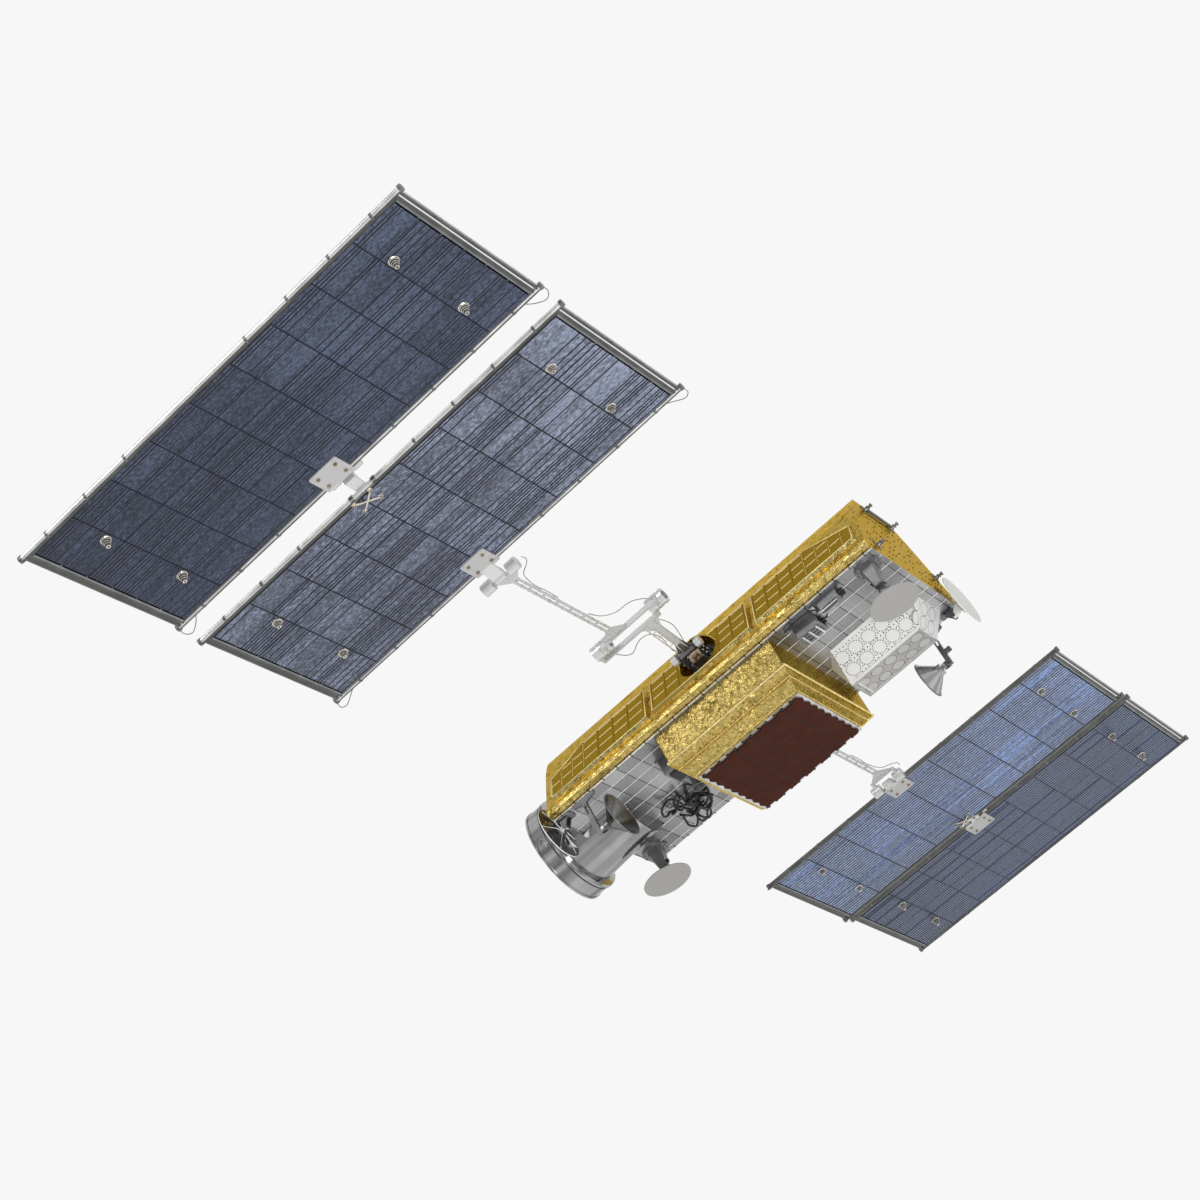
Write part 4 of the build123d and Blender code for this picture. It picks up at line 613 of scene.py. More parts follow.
def blanket_tails(bm, side):
    """Narrowing tails that carry the outer blankets on towards the ends of the bus."""
    for way, start, end, end_row in TAILS:
        foot_and_face = []
        for grow, drop in ((TAIL_EDGE, BLANKET_LIFT + 0.003), (0.0, 0.0003)):
            past = FILM_PAST_WELT + grow
            top = BLANKET_HALF + past
            outline = ((start, -top), (end + grow, -top), (end + grow, end_row + past),
                       (start + 0.013, top), (start, top))
            ring = []
            for x, row in outline:
                spot, _, outward = on_wall(side, way * x, row)
                ring.append(bm.verts.new(spot - outward * drop))
            foot_and_face.append(ring)
        close_rings(bm, foot_and_face)
    bmesh.ops.recalc_face_normals(bm, faces=bm.faces)
    for face in bm.faces:
        face.material_index = 1 if len(face.verts) == 4 else 0


def blanket_seams(bm, side):
    """Raised stitched welts between the cross seams of every quilted column."""
    columns = []
    for x0, x1 in BLANKETS:
        width = x1 - x0 - 2 * QUILT_BORDER
        count = round(width / QUILT_PITCH)
        columns += [(x0 + QUILT_BORDER + (i + 0.5) * width / count, width / count, BLANKET_HALF)
                    for i in range(count)]
    for tail in TAILS:
        borders = tail_columns(*tail)
        columns += [((near + far) / 2, TAIL_PITCH, tail_top(*tail, far) - 0.02)
                    for near, far in zip(borders, borders[1:])]
    for x, pitch, top in columns:
        for row in SEAM_ROWS:
            spot, along, outward = on_wall(side, x, row)
            if row <= top and from_drive(spot) >= SEAM_CLEAR:
                turn = Matrix((Vector((1, 0, 0)), along, outward)).transposed()
                put_box(bm, spot, (pitch - SEAM_GAP, SEAM_WIDTH, SEAM_HEIGHT), turn)


def tail_joints(bm, side):
    """Flat seams across the tails, from the lower edge to the sloping one."""
    for tail in TAILS:
        for x in tail_columns(*tail):
            low = on_wall(side, x, -BLANKET_HALF + 0.024)[0]
            put_rod(bm, low, on_wall(side, x, tail_top(*tail, x) - 0.022)[0], 0.0024, 8)


def blanket_welts(bm, side):
    """Bound edge round each quilted panel and its tail."""
    (_, a1), (m0, m1), (f0, _) = [(x0 + WELT_IN, x1 - WELT_IN) for x0, x1 in BLANKETS]
    half = BLANKET_HALF
    outlines = [((m0, half), (m1, half), (m1, -half), (m0, -half))]
    for near, (way, start, end, end_row) in zip((a1, f0), TAILS):
        outlines.append(((near, half), (way * start, half), (way * end, end_row),
                         (way * end, -half), (near, -half)))
    for outline in outlines:
        spots = [on_wall(side, x, row)[0] for x, row in outline]
        for start, end in zip(spots, spots[1:] + spots[:1]):
            put_rod(bm, start, end, WELT_R, 10)


def deck_screws(bm, side):
    """Dark screw heads along the deck's metal edge."""
    count, inset = 22, 0.06
    for i in range(count):
        x = BUS_X0 + inset + i * (BUS_X1 - BUS_X0 - 2 * inset) / (count - 1)
        put_pin(bm, (x, side * DECK_EDGE_Y, -0.3515), (0, side * 0.003, 0), 0.0042, 10)
        put_pin(bm, (x, side * (DECK_EDGE_Y - 0.012), DECK_Z), (0, 0, -0.003), 0.005, 10)


TIE_ROWS, TIE_ROW_PITCH, TIE_PITCH = 7, 0.075, 0.042
TIE_SHARE, TIE_STRAY = 0.72, 0.006
FACE_FOOT_HALF, FACE_TOP_HALF, FACE_TOP_Z = 0.52, 0.24, 0.1


def end_face_ties(bm):
    """Short dark ties in rows over the foil of the bracket end."""
    for row in range(TIE_ROWS):
        z = WALL_FOOT_Z + row * TIE_ROW_PITCH
        half = FACE_FOOT_HALF - (z - WALL_FOOT_Z) * WALL_SLOPE if z < FACE_TOP_Z else FACE_TOP_HALF
        count = int(half / TIE_PITCH)
        for i in range(-count, count + 1):
            if dice.random() < TIE_SHARE:
                y = i * TIE_PITCH + dice.uniform(-TIE_STRAY, TIE_STRAY)
                put_box(bm, (BUS_X1 + 0.0015, y, z + dice.uniform(-TIE_STRAY, TIE_STRAY)),
                        (0.004, 0.011, 0.0035))


# the narrow sides of the blankets and of their tails get the duller foil, as painted shade
paint("bus_body", rim_shaded_film, blanket_side)
paint("bus_body", end_foil, lambda c, n: n.x > 0.9)
paint("antenna_deck", light_metal, lambda c, n: abs(c.y) > DECK_EDGE_Y - 0.0075)
for tails in pair("blanket_tails", "bus", blanket_tails, quilt_film):
    tails.data.materials.append(rim_shaded_film)
pair("tail_joints", "bus", tail_joints, seam_gold)
pair("blanket_welts", "bus", blanket_welts, seam_pale, True)
pair("blanket_seams", "bus", blanket_seams, seam_pale)
pair("deck_edge_screws", "bus", deck_screws, black_metal)
piece("end_face_ties", "bus", end_face_ties, tie_brown)

# --- array housing and face
# half length in X, first Y, last Y, Z, width of the tape
HOUSING_RIMS = (
    (0.460, -0.530, 0.550, -0.550, 0.020),
    (0.4365, -0.4768, 0.4888, -0.598, 0.008),
    (0.401, -0.390, 0.390, -0.650, 0.008),
)
TAPE_LEAN, TAPE_FLAT = math.radians(40), 0.55
ARRAY_MID_Y, ARRAY_HALF_X, ARRAY_HALF_Y = 0.023, 0.382, 0.374
ARRAY_COLUMNS, ARRAY_TEETH, TOOTH_REACH = 6, 9, 0.020
ARRAY_PITCH = (2 * ARRAY_HALF_X - TOOTH_REACH) / ARRAY_COLUMNS
TILE_FACE_Z, CLIP_Z = -0.672, -0.664


def housing_tapes(bm):
    """Foil tape folded over the edges of the bevelled housing."""
    for half_x, y0, y1, z, width in HOUSING_RIMS:
        for y in (y0, y1):
            put_box(bm, (0, y, z), (2 * half_x, width * TAPE_FLAT, width),
                    Matrix.Rotation(math.copysign(TAPE_LEAN, y), 3, "X"))
        for x in (-half_x, half_x):
            put_box(bm, (x, (y0 + y1) / 2, z), (width * TAPE_FLAT, y1 - y0, width),
                    Matrix.Rotation(math.copysign(TAPE_LEAN, -x), 3, "Y"))


def array_clips(bm):
    """Black spring clips in the scallops along both long edges of the array."""
    for column in range(ARRAY_COLUMNS):
        x = -ARRAY_HALF_X + (column + 0.38) * ARRAY_PITCH
        for way in (-1, 1):
            for dx in (-0.030, 0.034):
                put_box(bm, (x + dx, ARRAY_MID_Y + way * (ARRAY_HALF_Y + 0.002), CLIP_Z),
                        (0.016, 0.018, 0.008))


def array_joints(bm):
    """Dark joints between the tile columns, in the same steps as their borders."""
    pitch = 2 * ARRAY_HALF_Y / ARRAY_TEETH
    for column in range(1, ARRAY_COLUMNS):
        x = -ARRAY_HALF_X + column * ARRAY_PITCH + 0.002
        for tooth in range(ARRAY_TEETH):
            y = ARRAY_MID_Y - ARRAY_HALF_Y + tooth * pitch
            corners = ((x, y), (x + TOOTH_REACH, y + 0.72 * pitch), (x, y + pitch))
            for (xa, ya), (xb, yb) in zip(corners, corners[1:]):
                lean = Matrix.Rotation(math.atan2(yb - ya, xb - xa), 3, "Z")
                put_box(bm, ((xa + xb) / 2, (ya + yb) / 2, TILE_FACE_Z - 0.0001),
                        (math.hypot(xb - xa, yb - ya), 0.0045, 0.0008), lean)


# painted shade: the housing's +X faces get the darker copy of its foil
paint("array_housing", housing_end_foil, lambda c, n: n.x > 0.5)
piece("housing_tapes", "bus", housing_tapes, seam_gold)
piece("array_clips", "bus", array_clips, black_metal)
piece("array_joints", "bus", array_joints, joint_brown)

# --- patch antenna box
PATCH_FOOT_Y, PATCH_TOP_Y0, PATCH_TOP_Y1 = -0.011, 0.208, 0.440
PATCH_TOP_Z = -0.500
PATCH_MIDDLE = Vector((0.81, 0.32, -0.40))
SLOPE_V = Vector((0, PATCH_TOP_Y0 - PATCH_FOOT_Y, PATCH_TOP_Z - DECK_Z))
END_V = Vector((-0.110, 0, PATCH_TOP_Z - DECK_Z))


def grid(u0, u_pitch, u_count, v0, v_pitch):
    """Middles of two rows of patches."""
    return [(u0 + i * u_pitch, v0 + j * v_pitch) for i in range(u_count) for j in range(2)]


# origin, directions u and v, middles of the patches in u and v, their radius, and of the ring of
# dots round each: count, distance from the patch, radius
PATCH_SLOPE = (Vector((0, PATCH_FOOT_Y, DECK_Z)), Vector((1, 0, 0)), SLOPE_V,
               grid(0.622, 0.104, 5, 0.085, 0.102), 0.034, (17, 0.0100, 0.0036))
PATCH_LOWEST = (Vector((0, 0, PATCH_TOP_Z)), Vector((1, 0, 0)), Vector((0, 1, 0)),
                grid(0.600, 0.105, 5, 0.272, 0.104), 0.039, (24, 0.003, 0.0021))
PATCH_END = (Vector((1.190, 0, DECK_Z)), Vector((0, 1, 0)), END_V,
             grid(0.150, 0.100, 3, 0.050, 0.085), 0.038, (24, 0.003, 0.0021))
GRID_DOTS = ((0.052, 0.051), (0.052, 0.026), (0.052, -0.026), (0.026, 0.051), (-0.026, 0.051),
             (0.052, -0.051), (-0.052, -0.051), (-0.026, -0.055), (0.0, -0.060), (0.026, -0.055))
DOT_HEIGHT = 0.002


def patch_spots(origin, u, v, middles, *rest):
    """Middle points and axes of one face's patches."""
    v = v.normalized()
    outward = u.cross(v)
    if outward.dot(PATCH_MIDDLE - origin) > 0:
        outward = -outward
    return [(origin + u * a + v * b, u, v, outward) for a, b in middles]


def patch_discs(bm, *faces):
    for face in faces:
        for spot, _, _, outward in patch_spots(*face):
            put_rod(bm, spot - outward * 0.001, spot + outward * 0.0009, face[4], 36)


def patch_dots(bm):
    """Dark fasteners in a ring round each patch."""
    for face in (PATCH_SLOPE, PATCH_LOWEST, PATCH_END):
        count, away, radius = face[5]
        for spot, u, v, outward in patch_spots(*face):
            for i in range(count):
                angle = i * math.tau / count
                dot = spot + (u * math.cos(angle) + v * math.sin(angle)) * (face[4] + away)
                put_pin(bm, dot, outward * DOT_HEIGHT, radius, 8)


def patch_grid_dots(bm):
    """Fasteners between the rings on the slope and along its upper edge."""
    for spot, u, v, outward in patch_spots(*PATCH_SLOPE):
        for du, dv in GRID_DOTS:
            put_pin(bm, spot + u * du + v * dv, outward * DOT_HEIGHT, 0.0038, 8)


def patch_ridges(bm):
    """Double welts along the edges between the slope, the lowest face and the end."""
    slope = SLOPE_V.normalized()
    for y, z in ((PATCH_TOP_Y0 - 0.013 * slope.y, PATCH_TOP_Z - 0.013 * slope.z),
                 (PATCH_TOP_Y0 + 0.012, PATCH_TOP_Z)):
        put_rod(bm, (0.575, y, z), (1.070, y, z), 0.0055, 12)
    for x in (0.575, 1.078):
        put_rod(bm, (x, PATCH_TOP_Y0, PATCH_TOP_Z), (x, PATCH_TOP_Y1, PATCH_TOP_Z), 0.005, 12)


# painted shade: the white patch box and its discs are grey on their lowest faces
paint("patch_box", patch_shaded_grey, lambda c, n: n.z < -0.9)
piece("patch_discs", "bus", lambda bm: patch_discs(bm, PATCH_SLOPE, PATCH_END), white_paint)
piece("patch_discs_lowest", "bus", lambda bm: patch_discs(bm, PATCH_LOWEST), patch_disc_shaded)
piece("patch_dots", "bus", patch_dots, dot_grey)
piece("patch_grid_dots", "bus", patch_grid_dots, dot_grey)
piece("patch_ridges", "bus", patch_ridges, white_paint)

# --- launch cone: dark band of painted shade where the groove between ring and cone lies
paint("launch_cone", dark_metal, lambda c, n: -1.468 < c.x < -1.452 and abs(n.x) < 0.9)

# --- deck units and cables
# centre and size of each box
UNIT_BARS = (
    *[((x, -0.395, -0.4435), (0.012, 0.110, 0.005)) for x in (0.620, 0.672, 0.724)],
    *[((0.870, y, -0.4235), (0.130, 0.006, 0.004)) for y in (-0.500, -0.456)],
    ((0.775, -0.455, -0.372), (0.030, 0.120, 0.020)),
)
# dark plates of painted shade: centre and size of each box
UNIT_OPENING_SHADES = (
    ((0.7515, -0.395, -0.398), (0.010, 0.090, 0.046)),
    ((0.672, -0.3325, -0.398), (0.120, 0.006, 0.044)),
    ((-0.545, -0.235, -0.4735), (0.060, 0.120, 0.004)),
)
# start, length in X, radius, sides
UNIT_SOCKETS = (
    *[((0.756, y, -0.398), 0.016, 0.009, 12) for y in (-0.430, -0.395, -0.360)],
    ((0.955, -0.478, -0.395), 0.030, 0.024, 24),
)
# name, points, radius
HOSES = (
    ("hose_a", ((0.780, -0.470, -0.385), (0.800, -0.500, -0.400), (0.750, -0.520, -0.380),
                (0.640, -0.520, -0.372), (0.560, -0.500, -0.366)), 0.0055),
    ("hose_b", ((0.770, -0.395, -0.398), (0.800, -0.400, -0.404), (0.830, -0.440, -0.380),
                (0.840, -0.478, -0.372)), 0.0050),
)
TANGLE_AT = Vector((-0.725, 0.225, -0.404))
TANGLE_RINGS, TANGLE_R, TANGLE_REACH, TANGLE_DROOP = 9, 0.0074, 0.058, 0.034


def unit_trim(bm):
    """Light bars over the receiver and the filter."""
    for centre, size in UNIT_BARS:
        put_box(bm, centre, size)


def unit_dark(bm):
    """Dark plates of painted shade over the deck units' openings and shaded faces, and the units' dark
    connectors.
    """
    for centre, size in UNIT_OPENING_SHADES:
        put_box(bm, centre, size)
    for start, length, radius, sides in UNIT_SOCKETS:
        put_pin(bm, start, (length, 0, 0), radius, sides)


def tangle(bm):
    """Loose black cables that lie over the stiff loops, each in an uneven ring."""
    for i in range(TANGLE_RINGS):
        centre = TANGLE_AT + Vector((0.09 * math.sin(i * 2.4), 0.12 * math.cos(i * 1.7), 0))
        ring = []
        for k in range(13):
            a = k * math.tau / 12
            reach = TANGLE_REACH + 0.016 * math.sin(3 * a + i)
            ring.append(centre + Vector((reach * math.cos(a), 1.25 * reach * math.sin(a),
                                         TANGLE_DROOP * math.sin(2 * a + 1.9 * i))))
        put_tube(bm, smoothed(ring, 4), TANGLE_R)


paint("cable_loops", MATERIALS["mirror_tile"], lambda c, n: c.z > DECK_Z - 0.0051)
piece("unit_trim", "bus", unit_trim, light_metal)
piece("unit_dark", "bus", unit_dark, black_metal)
piece("cable_tangle", "bus", tangle, black_jacket, True)
for name, points, radius in HOSES:
    wire(name, "bus", points, radius, black_jacket)

# --- gimbals, horns and end dishes
DISHES = (("a", 1.0), ("d", -1.0))
GIMBAL_X, GIMBAL_Y, TILT_Z = 1.171, 0.433, -0.560
FLANGE_Z, FLANGE_BOLTS, FLANGE_BOLT_R = -0.369, 12, 0.076
# name, turn, mouth radius, X, Y and Z of the mouth before turning
HORNS = (("aft", 1.0, 0.150, -0.863, -0.547, -0.620), ("fore", -1.0, 0.120, -0.863, -0.560, -0.605))
HORN_PIVOT_IN, RIM_R = 0.140, 0.005


def gimbal_bolts(bm, gx, gy):
    """Bolts round the flange of the tower."""
    for x, y, z in circle(FLANGE_BOLT_R, FLANGE_BOLTS, FLANGE_Z):
        put_pin(bm, (gx + x, gy + y, z), (0, 0, -0.006), 0.0055, 8)


def gimbal_motor(bm, gx, gy, turn):
    """Small motor can on the side of the tower."""
    put_pin(bm, (gx - turn * 0.026, gy, -0.468), (-turn * 0.018, 0, -0.006), 0.014, 20)


def horn_rim(bm, mouth, radius, turn):
    """Bead round the mouth of a horn, whose axis is X."""
    sides, tube = 48, 8
    centre = mouth - Vector((turn * 0.002, 0, 0))
    loops = []
    for i in range(sides):
        a = i * math.tau / sides
        out = Vector((0, math.cos(a), math.sin(a)))
        loops.append([bm.verts.new(centre + out * (radius - 0.002 + wide) + Vector((deep, 0, 0)))
                      for wide, deep, _ in circle(RIM_R, tube)])
    for here, there in zip(loops, loops[1:] + loops[:1]):
        for k in range(tube):
            bm.faces.new((here[k], there[k], there[(k + 1) % tube], here[(k + 1) % tube]))


for tag, turn in DISHES:
    gx, gy = turn * GIMBAL_X, turn * -GIMBAL_Y
    piece(f"gimbal_bolts_{tag}", "bus", lambda bm: gimbal_bolts(bm, gx, gy), grey_metal)
    piece(f"gimbal_motor_{tag}", "bus", lambda bm: gimbal_motor(bm, gx, gy, turn), black_metal)
    piece(f"gimbal_pin_{tag}", f"gimbal_{tag}_head",
          lambda bm: [put_pin(bm, (gx + way * 0.029, gy, TILT_Z), (way * 0.011, 0, 0), 0.011, 18)
                      for way in (-1, 1)], dark_metal)

# end dishes: white outside, bare metal on the side that faces along the bus
for way, end in ENDS:
    paint(f"end_dish_{end}", inside_metal, lambda c, n: way * n.x < -0.25)

for name, turn, radius, mx, my, mz in HORNS:
    mouth = Vector((turn * mx, turn * my, mz))
    pivot = mouth - Vector((turn * HORN_PIVOT_IN, 0, 0))
    piece(f"horn_rim_{name}", f"horn_{name}_body", lambda bm: horn_rim(bm, mouth, radius, turn),
          grey_metal, True)
    piece(f"horn_pin_{name}", "bus",
          lambda bm: [put_pin(bm, pivot + Vector((0, way * 0.0212, 0)), (0, way * 0.0078, 0), 0.010, 18)
                      for way in (-1, 1)], light_metal)

# --- brackets at the bracket end
# Y and Z of each pin; the first two carry the bar
BRACKETS = ((-0.126, 0.172), (0.209, 0.172), (-0.388, -0.255), (0.466, -0.145))


def bracket_bar(bm):
    """Bar that joins the two upper brackets, with knobs on every pin."""
    first, second = [(BUS_X1 + 0.012, y, z) for y, z in BRACKETS[:2]]
    put_rod(bm, first, second, 0.009, 14)
    for y, z in BRACKETS:
        put_pin(bm, (BUS_X1 + 0.043, y, z), (0.012, 0, 0), 0.012, 16)
        put_pin(bm, (BUS_X1 + 0.028, y - 0.022, z), (0, 0.044, 0), 0.004, 8)


piece("bracket_bar", "bus", bracket_bar, dark_metal)

# --- root fittings and yokes
SLIP_Y = 0.470
ROOT_BOLT_YS, ROOT_CHEEK_X, ROOT_BOLT_Z = (0.455, 0.500, 0.545), 0.0725, 0.024
STEM_ROD_X, STEM_FOOT_Y, STEM_TOP_Y, STEM_RUNGS = -0.022, 0.640, 0.950, 6
KNOT_Y0, KNOT_PITCH, KNOTS = 1.225, 0.130, 8
TUBES_X, TUBE_APART = -0.140, 0.014
# X of the outer faces of the middle drum's halves on each yoke, and which way they face
MID_CAPS = {"inner": ((0.0948, -1), (-0.3422, -1)), "outer": ((0.2152, 1), (-0.2218, 1))}
HARNESS_R, ARC_R = 0.0028, 0.0024
# harness in arcs between its ties: name, body, points on the right wing
HARNESS = (
    ("stem_wire", "inner_yoke",
     ((0.054, 0.660, -0.070), (0.075, 0.720, -0.040), (0.092, 0.800, -0.010),
      (0.080, 0.880, 0.005), (0.060, 0.930, 0.010), (0.066, 0.958, 0.014))),
    ("blade_wire", "inner_yoke",
     ((-0.266, 0.952, 0.008), (-0.235, 0.860, 0.004), (-0.196, 0.832, 0.002),
      (-0.140, 0.868, 0.002), (-0.095, 0.888, 0.000), (-0.039, 0.868, -0.002),
      (-0.016, 0.790, -0.010), (-0.030, 0.700, -0.030), (-0.036, 0.650, -0.050))),
    ("bar_wire", "outer_yoke",
     ((-0.115, 1.398, 0.010), (-0.085, 1.300, 0.008), (-0.022, 1.241, 0.006),
      (0.045, 1.232, 0.006), (0.093, 1.215, 0.006), (0.140, 1.160, 0.006), (0.165, 1.100, 0.004))),
    ("hinge_wire", "outer_yoke",
     ((-0.115, 1.700, 0.010), (-0.112, 1.819, 0.010), (-0.115, 1.911, 0.006), (-0.100, 2.020, 0.000),
      (-0.080, 2.078, 0.000), (-0.020, 2.125, 0.000), (0.006, 2.160, 0.000), (0.002, 2.200, 0.000))),
)


def slip_ring(bm, side):
    """Brass slip-ring block between the cheeks of the root fitting."""
    put_box(bm, (DRIVE_X, side * SLIP_Y, DRIVE_Z), (0.080, 0.076, 0.064))
    put_pin(bm, (DRIVE_X, side * 0.505, DRIVE_Z), (0, side * 0.030, 0), 0.024, 24)


def root_trim(bm, side):
    """Light edges and bolts on the root fitting."""
    for way in (-1, 1):
        for rise in (-1, 1):
            put_box(bm, (DRIVE_X + way * 0.046, side * SLIP_Y, DRIVE_Z + rise * 0.030),
                    (0.006, 0.074, 0.008))
            for y in ROOT_BOLT_YS:
                put_pin(bm, (DRIVE_X + way * ROOT_CHEEK_X, side * y, DRIVE_Z + rise * ROOT_BOLT_Z),
                        (way * 0.0065, 0, 0), 0.006, 10)


def in_drum(c, y, z, radius, side):
    return math.hypot(c.y - side * y, c.z - z) < radius


def stem_rod(bm, side):
    """Thin rod with rungs beside the stem, which rises from the root to the wing plane."""
    rise = -ROOT_Z / (MID_Y - 0.060 - ROOT_Y)
    start, end = [Vector((STEM_ROD_X, side * y, ROOT_Z + (y - ROOT_Y) * rise))
                  for y in (STEM_FOOT_Y, STEM_TOP_Y)]
    put_rod(bm, start, end, 0.004, 8)
    for i in range(STEM_RUNGS):
        put_pin(bm, start.lerp(end, (i + 0.5) / STEM_RUNGS), (0.034, 0, 0), 0.003, 8)


def tube_knots(bm, side):
    """Small couplings along the twin tubes of the outer yoke."""
    for i in range(KNOTS):
        y = side * (KNOT_Y0 + i * KNOT_PITCH)
        for way in (-1, 1):
            put_pin(bm, (TUBES_X + way * TUBE_APART, y - 0.008, 0), (0, 0.016, 0), 0.0100, 14)


def mid_caps(bm, side, yoke):
    """Round caps on the outer faces of the middle drum."""
    for x, way in MID_CAPS[yoke]:
        put_pin(bm, (x, side * MID_Y, MID_Z), (way * 0.005, 0, 0), 0.026, 24)


pair("slip_ring", "turntable", slip_ring, brass)
pair("root_trim", "turntable", root_trim, light_metal)
pair("stem_rod", "inner_yoke", stem_rod, light_metal)
pair("tube_knots", "outer_yoke", tube_knots, light_metal)
for yoke in ("inner", "outer"):
    pair(f"mid_caps_{yoke}", f"{yoke}_yoke", lambda bm, side: mid_caps(bm, side, yoke), dark_metal)
for side, hand in HANDS:
    paint(f"root_fitting_{hand}", bright_metal,
          lambda c, n: in_drum(c, ROOT_Y, ROOT_Z, 0.0305, side) and abs(c.x - DRIVE_X) > 0.0722)
    paint(f"drive_housing_{hand}", black_metal, lambda c, n: True)
    # dark cheeks at the root, bright drums
    paint(f"yoke_inner_{hand}", dark_metal, lambda c, n: abs(c.y) < 0.700 and c.z < -0.050)
    paint(f"yoke_inner_{hand}", bright_metal, lambda c, n: in_drum(c, MID_Y, MID_Z, 0.0485, side))
    paint(f"yoke_outer_{hand}", bright_metal,
          lambda c, n: in_drum(c, MID_Y, MID_Z, 0.0485, side)
          or in_drum(c, PANEL_HINGE_Y, PANEL_HINGE_Z, 0.0385, side))
    for name, body, points in HARNESS:
        wire(f"{name}_{hand}", f"{body}_{hand}", [(x, side * y, z) for x, y, z in points],
             HARNESS_R, pale_wire)

# --- panels
# Y of the two rails and Z of their middle
RAILS = {"inner": (2.355, 3.453, 0.0), "outer": (3.602, 4.700, 0.041)}
BOARD_T, EDGE_X = 0.020, 1.303
HOLD_DOWN_X, HOLD_DOWN_IN = 1.005, 0.279
PLATES = {"inner": (-0.143, 0.172), "outer": (-0.115, 0.190)}    # middle X and width
PLATE_REACH = (-0.022, 0.146)
# turned tiers of a hold-down: distance from the board's face, radius
TURRET = ((0.000, 0.030), (0.006, 0.030), (0.008, 0.026), (0.012, 0.026), (0.013, 0.021),
          (0.019, 0.021), (0.020, 0.017), (0.026, 0.017), (0.027, 0.013), (0.036, 0.012))
TURRET_BANDS = ((0.0125, 0.0222), (0.0195, 0.0178), (0.0262, 0.0138))
TURRET_STRETCH = {"inner": 1.0, "outer": 1.5}   # the inner wing's lie close to the yoke when stowed
SCREW = ((0, 0.011), (0.004, 0.011), (0.005, 0.008), (0.010, 0.007))
RAIL_CLIPS, CLIP_PITCH = 9, 0.28
BRACE_X, BRACE_Y, BRACE_REACH = -0.130, 3.390, (0.058, 0.044)
BRACE_FOOT = ((0, 0.014), (0.008, 0.013), (0.009, 0.009), (0.026, 0.007))
# harness arcs that hang off the ends of the rails: panel, points at the fore end of the right wing
CORNER_ARCS = (
    ("inner", ((1.312, 2.355, -0.010), (1.318, 2.325, -0.032), (1.285, 2.312, -0.040),
               (1.230, 2.332, -0.024), (1.190, 2.350, -0.012))),
    ("outer", ((1.312, 3.602, 0.040), (1.316, 3.560, 0.020), (1.280, 3.540, 0.006),
               (1.225, 3.566, 0.016), (1.190, 3.594, 0.030))),
)


def four(x, y, reach_x, reach_y):
    """The four points at those distances from a middle."""
    return [(x + sx * reach_x, y + sy * reach_y) for sx in (-1, 1) for sy in (-1, 1)]


def hold_downs(side, panel):
    """X, Y and Z of the feet of a panel's hold-downs, and how much longer than the plain ones."""
    y0, y1, mid = RAILS[panel]
    spots = four(0.0, side * (y0 + y1) / 2, HOLD_DOWN_X, (y1 - y0) / 2 - HOLD_DOWN_IN)
    return [(x, y, mid - BOARD_T / 2) for x, y in spots], TURRET_STRETCH[panel]


def turrets(bm, side, panel):
    spots, stretch = hold_downs(side, panel)
    for spot in spots:
        put_turned(bm, spot, (0, 0, -1), [(reach * stretch, radius) for reach, radius in TURRET], 24)


def turret_bands(bm, side, panel):
    """Dark bands between the tiers and a dark socket at the tip."""
    spots, stretch = hold_downs(side, panel)
    for x, y, face in spots:
        for reach, radius in TURRET_BANDS:
            put_pin(bm, (x, y, face - reach * stretch + 0.001), (0, 0, -0.003), radius + 0.0012, 20)
        put_pin(bm, (x, y, face - TURRET[-1][0] * stretch + 0.0005), (0, 0, -0.0009), 0.006, 14)


def plate_screws(bm, side, panel):
    y0, _, mid = RAILS[panel]
    plate_x, plate_w = PLATES[panel]
    for x, y in four(plate_x, side * (y0 + sum(PLATE_REACH) / 2), plate_w / 2 - 0.034, 0.042):
        put_turned(bm, (x, y, mid - BOARD_T), (0, 0, -1), SCREW, 16)


def edge_strips(bm, side, panel):
    """Light strip between the cells and the bars of both short edges."""
    y0, y1, mid = RAILS[panel]
    for way in (-1, 1):
        put_box(bm, (way * 1.2475, side * (y0 + y1) / 2, mid - BOARD_T / 2 - 0.0015),
                (0.020, y1 - y0 - 0.05, 0.003))


def edge_ticks(bm, side, panel):
    """Pale outer line with ticks along the short edges."""
    y0, y1, mid = RAILS[panel]
    for way in (-1, 1):
        put_rod(bm, (way * EDGE_X, side * y0, mid), (way * EDGE_X, side * y1, mid), 0.0022, 8)
        for i in range(7):
            y = side * (y0 + (i + 0.5) * (y1 - y0) / 7)
            put_pin(bm, (way * (EDGE_X - 0.010), y, mid), (way * 0.011, 0, 0), 0.003, 8)


def rail_clips(bm, side, panel):
    """Clips and end caps along the rails."""
    y0, y1, mid = RAILS[panel]
    for y in (side * y0, side * y1):
        for i in range(RAIL_CLIPS):
            x = (i - RAIL_CLIPS // 2) * CLIP_PITCH
            if abs(x + 0.09) >= 0.20:
                put_pin(bm, (x - 0.007, y, mid), (0.014, 0, 0), 0.0185, 18)
        for way in (-1, 1):
            put_pin(bm, (way * 1.300, y, mid), (way * 0.018, 0, 0), 0.0205, 18)


def brace_feet(bm, side):
    for x, y in four(BRACE_X, side * BRACE_Y, *BRACE_REACH):
        put_turned(bm, (x, y, -BOARD_T / 2), (0, 0, -1), BRACE_FOOT, 16)


def brace_holes(bm, side):
    for x, y in four(BRACE_X, side * BRACE_Y, *BRACE_REACH):
        put_pin(bm, (x, y, -0.030), (0, 0, -0.0068), 0.0045, 12)


